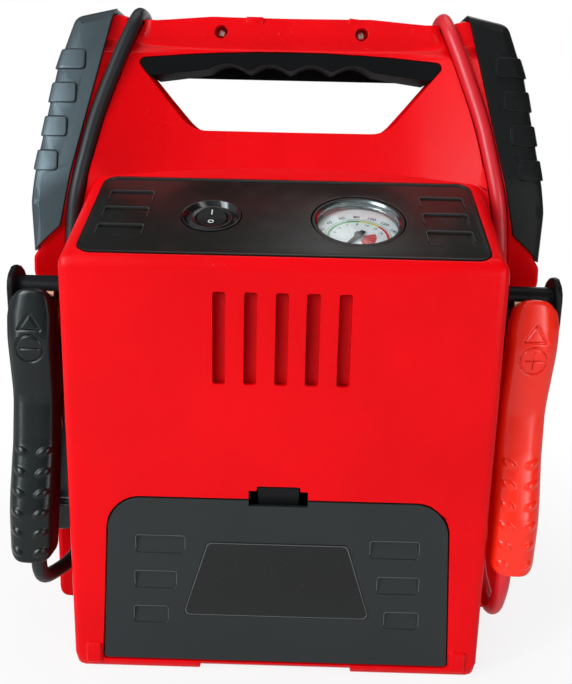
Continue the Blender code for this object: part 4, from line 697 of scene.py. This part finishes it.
collar_bright = metal("collar_bright", (0.26, 0.28, 0.28), (0.15, 0.16, 0.16), 0.22)
collar = turned_ring("gauge_collar", [
    (0.0217, 0.0053), (0.0217, 0.0006), (0.0203, 0.0006), (0.0203, 0.0018), (0.0207, 0.0022),
    (0.0207, 0.0043), (0.0211, 0.0047)], DIAL, collar_bright)
own(collar, "pack", "chrome")

dial_paper = Finish("dial_paper")
faded = dial_paper.noise(dial_paper.spot(), 90.0, 3.0)
dial_white = dial_paper.surface(
    base_color=dial_paper.blend(faded.step(0.3, 0.7), (0.70, 0.71, 0.70), (0.78, 0.79, 0.78)),
    roughness=0.6, specular_IOR_level=0.2)


def coat(node, material):
    """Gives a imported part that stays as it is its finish."""
    wear(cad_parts[node], material)


coat("gauge_dial", dial_white)
needle_black = plastic("needle_black", (0.004, 0.004, 0.004), 0.5, gloss=0.1)
coat("gauge_needle", needle_black)


def ink(name, colour, roughness=0.5):
    """Printing ink, a little uneven. It also lays one painted highlight, the hairline round the
    door's plate.
    """
    finish = Finish(name)
    uneven = finish.noise(finish.spot(), 1200.0, 2.0)
    darker = tuple(c * 0.8 for c in colour)
    return finish.surface(base_color=finish.blend(uneven.step(0.35, 0.7), colour, darker),
                          roughness=roughness)


INK_THICK = 0.00005


def flat_band(name, inner, outer, start, end, matrix, material, steps):
    """Thin printed band between two radii and two angles in degrees."""
    verts, faces = [], []
    for i in range(steps + 1):
        angle = math.radians(start + (end - start) * i / steps)
        for radius in (inner, outer):
            for z in (0.0, INK_THICK):
                verts.append((radius * math.cos(angle), radius * math.sin(angle), z))
    for i in range(steps):
        a, b = 4 * i, 4 * i + 4
        faces += [(a, b, b + 2, a + 2), (a + 1, a + 3, b + 3, b + 1), (a, a + 1, b + 1, b),
                  (a + 2, b + 2, b + 3, a + 3)]
    faces += [(0, 2, 3, 1), (4 * steps, 4 * steps + 1, 4 * steps + 3, 4 * steps + 2)]
    made = mesh_piece(name, verts, [], faces)
    turn_faces_out()
    return place_shape(wear(made, material), matrix)


def lettering(name, word, size, matrix, material):
    """Printed figure, centred on its place, as a thin mesh."""
    bpy.ops.object.select_all(action="DESELECT")
    bpy.ops.object.text_add()
    made = bpy.context.active_object
    made.data.body = word
    made.data.size = size
    made.data.align_x = "CENTER"
    made.data.align_y = "CENTER"
    made.data.extrude = INK_THICK / 2
    made.data.resolution_u = 3
    made.data.offset = size * 0.018
    bpy.ops.object.convert(target="MESH")
    made.name = name
    return place_shape(wear(made, material), matrix)


number_ink = ink("number_ink", (0.02, 0.03, 0.06))
green_ink = ink("green_ink", (0.10, 0.42, 0.12))
yellow_ink = ink("yellow_ink", (0.62, 0.60, 0.08))
red_ink = ink("red_ink", (0.68, 0.03, 0.03))
# The scale runs clockwise round the needle's pivot: eight steps, each of four ticks.
SCALE = DIAL @ Matrix.Translation((0.0, -PIVOT_DOWN, 0.0))
SCALE_START, SCALE_STEP, SCALE_END, TICKS = 184.0, 23.5, -4.0, 4
OUTER_FIGURES, INNER_FIGURES = (0.0194, 0.0033), (0.0124, 0.0023)
LINE_R, TICK_R, TICK_HALF, LONG_TICK, SHORT_TICK = 0.0165, 0.0166, 0.28, 0.0013, 0.0007
figures = []
for index in range(9):
    angle = math.radians(SCALE_START - SCALE_STEP * index)
    turned = Matrix.Rotation((angle - math.pi / 2) * 0.75, 4, "Z")
    rings = [(20 * index, OUTER_FIGURES)]
    if 0 < index < 8:
        rings.append((2 * index, INNER_FIGURES))
    for value, (radius, size) in rings:
        spot = Matrix.Translation((radius * math.cos(angle), radius * math.sin(angle), 0.0))
        figures.append(lettering("figure", str(value), size, SCALE @ spot @ turned, number_ink))
for index in range(8 * TICKS + 1):
    angle = SCALE_START - SCALE_STEP * index / TICKS
    long = LONG_TICK if index % TICKS == 0 else SHORT_TICK
    figures.append(flat_band("tick", TICK_R, TICK_R + long, angle - TICK_HALF, angle + TICK_HALF,
                             SCALE, number_ink, 1))
figures.append(flat_band("line", LINE_R, LINE_R + 0.00015, SCALE_START, SCALE_END, SCALE,
                         number_ink, 48))
own(joined("dial_figures", figures), "pack", "black_plastic")
BAND_INNER, BAND_OUTER, GREEN_END, YELLOW_END = 0.0144, 0.0158, 84.0, 44.0
bands = [flat_band(name, BAND_INNER, BAND_OUTER, start, end, SCALE, colour_ink, steps)
         for name, start, end, colour_ink, steps in (
             ("green_band", SCALE_START, GREEN_END, green_ink, 28),
             ("yellow_band", GREEN_END, YELLOW_END, yellow_ink, 14),
             ("red_band", YELLOW_END, SCALE_END, red_ink, 14))]
own(joined("dial_bands", bands), "pack", "white")
FAN_INNER, FAN_OUTER, FAN_WIDE = 0.0026, 0.0092, 17.0
fan = [flat_band("fan", FAN_INNER, FAN_OUTER, start, start + FAN_WIDE, SCALE, red_ink, 4)
       for start in (-72.0, -53.0, -34.0, -15.0, 4.0)]
own(joined("dial_fan", fan), "pack", "white")


def clear_glass(name, mirror=0.14):
    """Clear moulding: seen through, with reflections that grow at a glancing angle."""
    finish = Finish(name)
    made = finish.surface(base_color=(0.85, 0.87, 0.88), metallic=1.0, roughness=0.04)
    clear = finish.node("ShaderNodeBsdfTransparent", None, {"Color": (0.96, 0.97, 0.97)})
    smear = finish.noise(finish.spot(), 160.0, 4.0).step(0.55, 0.85)
    glancing = finish.amount("ShaderNodeLayerWeight", None, {"Blend": 0.15})
    mix = finish.node("ShaderNodeMixShader", None, {
        0: glancing * mirror + smear * 0.03 + 0.01, 1: clear.outputs[0],
        2: finish.tree.nodes["Principled BSDF"].outputs[0]})
    finish.tree.links.new(mix.outputs[0],
                          finish.tree.nodes["Material Output"].inputs["Surface"])
    return made


gauge_glass = clear_glass("gauge_glass")
coat("gauge_lens", gauge_glass)

switch_black = plastic("switch_black", (0.0065, 0.0068, 0.007), 0.16, gloss=0.55)
skin("switch_ring", "switch_bezel", "pack", "black_plastic", switch_black, 0.0002)
skin("rocker_key", "compressor_rocker", "compressor_key", "black_plastic", grip_black, 0.0003)
mark_white = ink("mark_white", (0.75, 0.76, 0.75))
KEY_TILT = math.radians(8.0)
KEY = (PANEL @ Matrix.Translation((-0.0374, 0.0392, -0.0030)) @ Matrix.Rotation(KEY_TILT, 4, "X"))


def key_face(along):
    """Place on the rocker's upper (along > 0) or lower half, turned to its face."""
    tilt = KEY_TILT if along > 0 else -KEY_TILT
    rise = 0.0016 + abs(along) * math.tan(KEY_TILT)
    return KEY @ Matrix.Translation((0.0, along, rise)) @ Matrix.Rotation(tilt, 4, "X")


MARK_THICK = 0.00012
on_mark = wear(brick("on_mark", (0.00055, 0.0032, MARK_THICK), key_face(0.0037)), mark_white)
off_mark = turned_ring("off_mark", [(0.0010, -MARK_THICK / 2), (0.0015, -MARK_THICK / 2),
                                    (0.0015, MARK_THICK / 2), (0.0010, MARK_THICK / 2)],
                       key_face(-0.0036), mark_white, 32)
own(joined("rocker_marks", [on_mark, off_mark]), "compressor_key", "white")

# ---------------------------------------------------------------- hose door
# Dark grey plastic flap on two pins, with sloping thumb ramps and a blank glossy plate stuck on it.
# A sliding black tab at its top edge locks it.
door_grey = plastic("door_grey", (0.0165, 0.0200, 0.0195), 0.29, gloss=0.30, tone=0.05, dust=0.06)
DOOR_THICK = 0.0026
door = upright("door_panel", both_sides([(half_low, GROUND + door_low, low_arc),
                                         (half_top, GROUND + door_top, top_arc)]),
               COVER_Y, COVER_Y + DOOR_THICK)
DOOR_FACE = Matrix.Translation((0.0, COVER_Y, GROUND)) @ Matrix.Rotation(math.pi / 2, 4, "X")
RAMP_TOPS, RAMP_TALL, RAMP_DEEP, RAMP_SLOPE = (0.0760, 0.0560, 0.0360), 0.0098, 0.0018, 0.13
# A lower row of ramps lies further out than the row above it.
RAMP_INNER, RAMP_OUTER, INNER_SHIFT, OUTER_SHIFT = 0.0472, 0.0719, 0.0045, 0.0009
# The door's lips are lighter than the door: a painted highlight along the thumb ramps' edges.
lip_highlight_grey = plastic("lip_highlight_grey", (0.075, 0.085, 0.085), 0.3, gloss=0.4)
ramps, door_lips = [], []
for side in (-1, 1):
    for row, ramp_top in enumerate(RAMP_TOPS):
        left, right = edges(side, RAMP_INNER + INNER_SHIFT * row, RAMP_OUTER + OUTER_SHIFT * row)
        ramps.append(block("thumb_ramp", left, right, -RAMP_TALL, 0.0, 0.0014, 0.0, 0.006,
                           Matrix.Translation((0.0, COVER_Y + RAMP_DEEP, GROUND + ramp_top))
                           @ Matrix.Rotation(math.pi / 2 - RAMP_SLOPE, 4, "X")))
        door_lips.append(lip("door_lip", left, right, ramp_top - RAMP_TALL, ramp_top, DOOR_FACE,
                             lip_highlight_grey))
NOTCH_SIZE, NOTCH_UP = (0.0296, 0.01, 0.01), 0.002
notch = Matrix.Translation((0.0, COVER_Y, GROUND + door_top + NOTCH_UP))
cut_out(door, brick("notch", NOTCH_SIZE, notch), *ramps)
softened(door, door_grey, 0.0003, 3)
STOP_SIZE, STOP_IN, STOP_UP = (0.010, 0.0039, 0.003), 0.00405, 0.0750
latch_stop = wear(brick("latch_stop", STOP_SIZE,
                        Matrix.Translation((0.0, COVER_Y + STOP_IN, GROUND + STOP_UP))), door_grey)
PIN_R, PIN_LONG, PIN_OUT, PIN_IN, PIN_UP = 0.0014, 0.0085, 0.0862, 0.0020, 0.0072
pins = [turned_ring("door_pin", [(0.0, 0.0), (PIN_R, 0.0), (PIN_R, PIN_LONG), (0.0, PIN_LONG)],
                    Matrix.Translation((side * PIN_OUT, COVER_Y + PIN_IN, GROUND + PIN_UP))
                    @ Matrix.Rotation(side * math.pi / 2, 4, "Y"), door_grey, 20)
        for side in (-1, 1)]
own(joined("door_panel", [door, latch_stop, *pins]), "door", "grey_plastic", "hose_door")
own(joined("door_lips", door_lips), "door", "grey_plastic")
skin("latch_tab", "door_latch", "latch", "black_plastic", grip_black, 0.0002)

PLATE_LOW, PLATE_TOP = (0.0487, 0.0313), (0.0360, 0.0733)
PLATE_THICK, PLATE_ROUND, PLATE_PROUD = 0.00027, 0.0028, 0.00003
plate_gloss = plastic("plate_gloss", (0.0050, 0.0058, 0.0055), 0.09, gloss=0.36, tone=0.03,
                      dust=0.06, grain=0.000002)
bpy.ops.object.select_all(action="DESELECT")
bpy.ops.mesh.primitive_plane_add(size=1.0)
plate = bpy.context.active_object
plate.name = "blank_plate"
for vertex in plate.data.vertices:
    half, up = PLATE_LOW if vertex.co.y < 0 else PLATE_TOP
    vertex.co = (math.copysign(half, vertex.co.x), COVER_Y - PLATE_PROUD, up + GROUND)
edit_all()
bpy.ops.mesh.bevel(offset=PLATE_ROUND, segments=6, affect="VERTICES")
bpy.ops.mesh.extrude_region_move(TRANSFORM_OT_translate={"value": (0.0, -PLATE_THICK, 0.0)})
turn_faces_out()
reshape(plate, "BEVEL", width=0.0001, segments=2)
bpy.ops.object.shade_smooth_by_angle(angle=math.radians(40.0))
own(wear(plate, plate_gloss), "door", "black_plastic")


def plate_outline(inset):
    """Outline that runs inside the plate's edge."""
    (low_half, low), (top_half, top) = PLATE_LOW, PLATE_TOP
    return both_sides([(low_half - inset * 1.15, GROUND + low + inset, 0.0026),
                       (top_half - inset * 1.15, GROUND + top - inset, 0.0026)])


# A lighter hairline just inside the plate's edge, laid on with the ink finish: a painted highlight
# of the plate's rim.
LINE_OUTSIDE, LINE_INSIDE, LINE_FRONT, LINE_BACK = 0.0005, 0.0008, 0.00033, 0.00028
hairline = cut_out(upright("plate_highlight_line", plate_outline(LINE_OUTSIDE), COVER_Y - LINE_FRONT,
                           COVER_Y - LINE_BACK),
                   upright("inside", plate_outline(LINE_INSIDE), COVER_Y - 0.001,
                           COVER_Y + 0.001))
own(wear(hairline, ink("hairline_highlight_grey", (0.10, 0.11, 0.11), 0.3)), "door", "black_plastic")

# ---------------------------------------------------------------- clamps and parking posts
# Each clamp has two glossy plastic handles over toothed copper jaws. The near handle carries a
# sunk arrow and polarity sign, and rows of finger bumps run down both.
CLAMP_PLACE = {"left": (-0.12624, -0.06588, 0.14437), "right": (0.12358, -0.06588, 0.14437)}
CLAMP_LEAN = {"left": math.radians(1.3), "right": math.radians(1.5)}
CLAMP_NOD = math.radians(-2.5)
HANDLE_TIP, HANDLE_SWELL = -0.087, 1.10
SIGN_AT, SIGN_R, SIGN_HALF = 0.0253, 0.0069, 0.0046
ARROW_TOP, ARROW_LOW, ARROW_HALF = 0.0429, 0.0347, 0.0056
GROOVE_HALF, GROOVE_DEEP = 0.00042, 0.0008
BUMP_ROWS, BUMP_PITCH, BUMP_TOP, BUMP_APART, BUMP_SLANT = 6, 0.01035, -0.0287, 0.0060, 0.30
BUMP_HALF_WIDE, BUMP_HALF_TALL, BUMP_PROUD = 0.0035, 0.0023, 0.0011


def near_line(x, z, start, end):
    """Distance of points (x, z) from a straight stroke."""
    run, rise = end[0] - start[0], end[1] - start[1]
    x, z = x - start[0], z - start[1]
    along = np.clip((x * run + z * rise) / (run ** 2 + rise ** 2), 0.0, 1.0)
    return np.hypot(x - along * run, z - along * rise)


def handle_moulding(name, node, matrix, polarity, material, groove_shade_finish):
    """Clamp handle: remeshed finely, its front crowned, with moulded signs and finger bumps.

    In the clamp's own frame x runs across it, y away from the hand and z up. polarity is -1 or 1.
    """
    piece = refined(name, node, material, 0.0)
    reshape(piece, "REMESH", mode="VOXEL", voxel_size=0.0005)
    reshape(piece, "SMOOTH", iterations=14)
    bpy.ops.object.shade_smooth()
    piece.data.transform(matrix.inverted())
    count = len(piece.data.vertices)
    spots, normals = np.zeros(count * 3), np.zeros(count * 3)
    piece.data.vertices.foreach_get("co", spots)
    piece.data.vertices.foreach_get("normal", normals)
    spots, normals = spots.reshape(-1, 3), normals.reshape(-1, 3)
    x, y, z = spots.T
    out = -1.0 if "near" in node else 1.0
    deep = np.clip(y * out / 0.028, 0.0, 1.0)
    x *= HANDLE_SWELL
    x += polarity * np.interp(z, [HANDLE_TIP, 0.05], [0.0004, 0.0016])
    half = HANDLE_SWELL * np.interp(z, [HANDLE_TIP, -0.05, -0.004, 0.042, 0.0555],
                                    [0.0100, 0.0107, 0.0104, 0.0112, 0.0092])
    edge = np.clip(np.abs(x) / half, 0.0, 1.0)
    spots[:, 1] -= out * edge ** 2.8 * 0.0042 * deep
    z -= edge ** 2.5 * 0.0022 * np.clip((z - 0.034) / 0.02, 0.0, 1.0)
    faces_out = np.clip(-normals[:, 1] * -out * 3.0 - 0.6, 0.0, 1.0) * (y * out > 0.006)
    raised = np.zeros(count)
    for row in range(BUMP_ROWS):
        for column in (-1.0, 1.0):
            u = x - column * BUMP_APART - polarity * 0.0006
            w = z - BUMP_TOP + BUMP_PITCH * row - u * BUMP_SLANT * column
            size = np.hypot(u / BUMP_HALF_WIDE, w / BUMP_HALF_TALL)
            raised += BUMP_PROUD * np.clip(1.0 - size ** 2, 0.0, 1.0) ** 0.6
    if out < 0:
        u = x - polarity * 0.0012
        tip, left, right = (0.0, ARROW_TOP), (-ARROW_HALF, ARROW_LOW), (ARROW_HALF, ARROW_LOW)
        strokes = [(left, right), (right, tip), (tip, left),
                   ((-SIGN_HALF, SIGN_AT), (SIGN_HALF, SIGN_AT))]
        if polarity > 0:
            strokes.append(((0.0, SIGN_AT - SIGN_HALF), (0.0, SIGN_AT + SIGN_HALF)))
        away = np.minimum.reduce([near_line(u, z, start, end) for start, end in strokes]
                                 + [np.abs(np.hypot(u, z - SIGN_AT) - SIGN_R)])
        groove = np.clip(1.5 - away / GROOVE_HALF, 0.0, 1.0) * faces_out
        raised -= GROOVE_DEEP * groove
        cornered = np.zeros(len(piece.data.loops), dtype=int)
        piece.data.loops.foreach_get("vertex_index", cornered)
        # Faces deep in the sunk signs take a darker finish: painted shade in the grooves.
        piece.data.materials.append(groove_shade_finish)
        for face in piece.data.polygons:
            start = face.loop_start
            if groove[cornered[start:start + face.loop_total]].min() > 0.55:
                face.material_index = 1
    spots[:, 1] += out * raised * faces_out
    piece.data.vertices.foreach_set("co", spots.ravel())
    piece.data.update()
    return place_shape(piece, matrix)


clamp_black = plastic("clamp_black", (0.0028, 0.0048, 0.0044), 0.25, gloss=0.34, smears=0.03)
clamp_red = plastic("clamp_red", (1.0, 0.022, 0.007), 0.20, gloss=0.40, smears=0.02)
jaw_copper = metal("jaw_copper", (0.78, 0.42, 0.27), (0.55, 0.27, 0.17), 0.30)
pin_steel = metal("pin_steel", (0.62, 0.62, 0.64), (0.45, 0.45, 0.47), 0.28)
# Darker copies of the clamps' plastics for the sunk signs: painted shade in the grooves.
black_groove_shade = plastic("black_groove_shade", (0.0012, 0.0018, 0.0018), 0.5, gloss=0.15)
red_groove_shade = plastic("red_groove_shade", (0.50, 0.006, 0.003), 0.5, gloss=0.1)
for word, finish, groove_shade_finish, slot_name, polarity in (
        ("left", clamp_black, black_groove_shade, "black_plastic", -1),
        ("right", clamp_red, red_groove_shade, "red_clamp", 1)):
    clamp_frame = (Matrix.Translation(CLAMP_PLACE[word]) @ Matrix.Rotation(CLAMP_LEAN[word], 4, "Y")
                   @ Matrix.Rotation(CLAMP_NOD, 4, "X"))
    skin("post_" + word, "clamp_post_" + word, "pack", "black_plastic", grip_black, 0.0002)
    coat("clamp_pin_" + word, pin_steel)
    coat("clamp_spring_" + word, pin_steel)
    for half, body in (("near", "pack"), ("far", word + "_lever")):
        node = f"clamp_cover_{word}_{half}"
        own(handle_moulding(f"clamp_handle_{word}_{half}", node, clamp_frame, polarity, finish,
                            groove_shade_finish), body, slot_name, node)
        skin(f"jaw_{word}_{half}", f"clamp_jaw_{word}_{half}", body, "copper", jaw_copper, 0.0002)

# ---------------------------------------------------------------- hose bay and what lies inside
# Behind the door are a black tray, a brass air outlet and two loose inflating nozzles. Inside the
# cover are the compressor's motor, crankcase and finned pump, and behind them battery and board.
brass = metal("brass", (0.80, 0.60, 0.28), (0.55, 0.38, 0.16), 0.28)
cast_aluminium = metal("cast_aluminium", (0.62, 0.63, 0.64), (0.42, 0.43, 0.44), 0.42)
nozzle_white = plastic("nozzle_white", (0.62, 0.62, 0.58), 0.38, gloss=0.3)
battery_grey = plastic("battery_grey", (0.045, 0.047, 0.05), 0.5, gloss=0.25)
board_green = plastic("board_green", (0.012, 0.10, 0.035), 0.35, gloss=0.45)
skin("bay_tray", "hose_tray", "pack", "black_plastic", grip_black, 0.0003)
for node, finish in (("hose_outlet", brass), ("nozzle_cone", nozzle_white), ("nozzle_valve", brass),
                     ("compressor_motor", battery_grey), ("compressor_crankcase", cast_aluminium),
                     ("pump_cylinder", cast_aluminium), ("battery", battery_grey),
                     ("circuit_board", board_green)):
    coat(node, finish)

# ---------------------------------------------------------------- lamp side
# A black panel holds the 12 V socket under a hinged rubber cap, the lamp's rocker, the battery
# test button with its row of small lights, and the charging jack. The work lamp sits above.
front_black = plastic("front_black", (0.0085, 0.009, 0.009), 0.36, gloss=0.3, tone=0.06,
                      grain=0.00003, grain_scale=1300.0, dust=0.06)
skin("front_plate", "front_panel", "pack", "black_plastic", front_black, 0.0003, cell=0.014)
skin("rubber_cap", "socket_cap", "cap", "black_rubber", black_rubber, 0.0003)
skin("lamp_key_bezel", "lamp_switch_bezel", "pack", "black_plastic", switch_black, 0.0003)
skin("lamp_key", "lamp_rocker", "lamp_key", "black_plastic", grip_black, 0.0003)
button_red = plastic("button_red", (0.60, 0.012, 0.012), 0.30, gloss=0.35)
skin("red_button", "test_button", "button", "red_clamp", button_red, 0.0002)
for node, finish in (("power_socket", pin_steel), ("charge_jack", switch_black),
                     ("lead_gland_left", black_rubber), ("lead_gland_right", black_rubber),
                     ("foot_left", black_rubber), ("foot_right", black_rubber)):
    coat(node, finish)

# Four small lights in a row behind the clear window, on a dark strip.
window_clear = clear_glass("window_clear", 0.35)
coat("level_window", window_clear)
LEVEL_UP, LEVEL_PITCH, LEVEL_FIRST, LEVEL_Y = 0.1213, 0.009, 0.0635, 0.0938
STRIP_SIZE, STRIP_X, STRIP_Y = (0.0386, 0.0006, 0.0128), 0.050, 0.0936
LEVEL_DOME = [(0.0002, 0.0), (0.0016, 0.0), (0.0015, 0.0006), (0.0010, 0.0011), (0.0002, 0.0013)]
LEVEL_RED, LEVEL_AMBER, LEVEL_GREEN = (0.55, 0.02, 0.02), (0.60, 0.42, 0.03), (0.05, 0.42, 0.08)
strip = brick("level_strip", STRIP_SIZE, Matrix.Translation((STRIP_X, STRIP_Y, LEVEL_UP)))
own(wear(strip, front_black), "pack", "black_plastic")
for index, colour in enumerate((LEVEL_RED, LEVEL_AMBER, LEVEL_GREEN, LEVEL_GREEN)):
    place = (Matrix.Translation((LEVEL_FIRST - LEVEL_PITCH * index, LEVEL_Y, LEVEL_UP))
             @ Matrix.Rotation(-math.pi / 2, 4, "X"))
    light = turned_ring(f"level_light_{index}", LEVEL_DOME, place,
                        plastic(f"level_colour_{index}", colour, 0.2), 20)
    own(light, "pack", "clear")

# Bright bowl with five lamp diodes on its floor, under a clear flat lens.
LAMP_LEAN = 0.530216
LAMP = (Matrix.Translation((0.0, 0.07188, 0.2243))
        @ Euler((math.pi / 2 - LAMP_LEAN, 0.0, math.pi)).to_matrix().to_4x4())
DIODE_PITCH, DIODE_DEEP = 0.0190, 0.0250
DIODE_DOME = [(0.0002, 0.0), (0.0034, 0.0), (0.0034, 0.0016), (0.0026, 0.0034), (0.0012, 0.0043),
              (0.0002, 0.0045)]
bowl_bright = metal("bowl_bright", (0.86, 0.87, 0.88), (0.74, 0.75, 0.76), 0.14)
coat("lamp_reflector", bowl_bright)
diode_white = plastic("diode_white", (0.80, 0.78, 0.55), 0.25, gloss=0.5)
for index in range(5):
    place = LAMP @ Matrix.Translation((DIODE_PITCH * (index - 2), 0.0, -DIODE_DEEP))
    diode = turned_ring(f"lamp_diode_{index}", DIODE_DOME, place, diode_white, 28)
    own(diode, "pack", "white")
coat("lamp_lens", clear_glass("lamp_clear", 0.35))
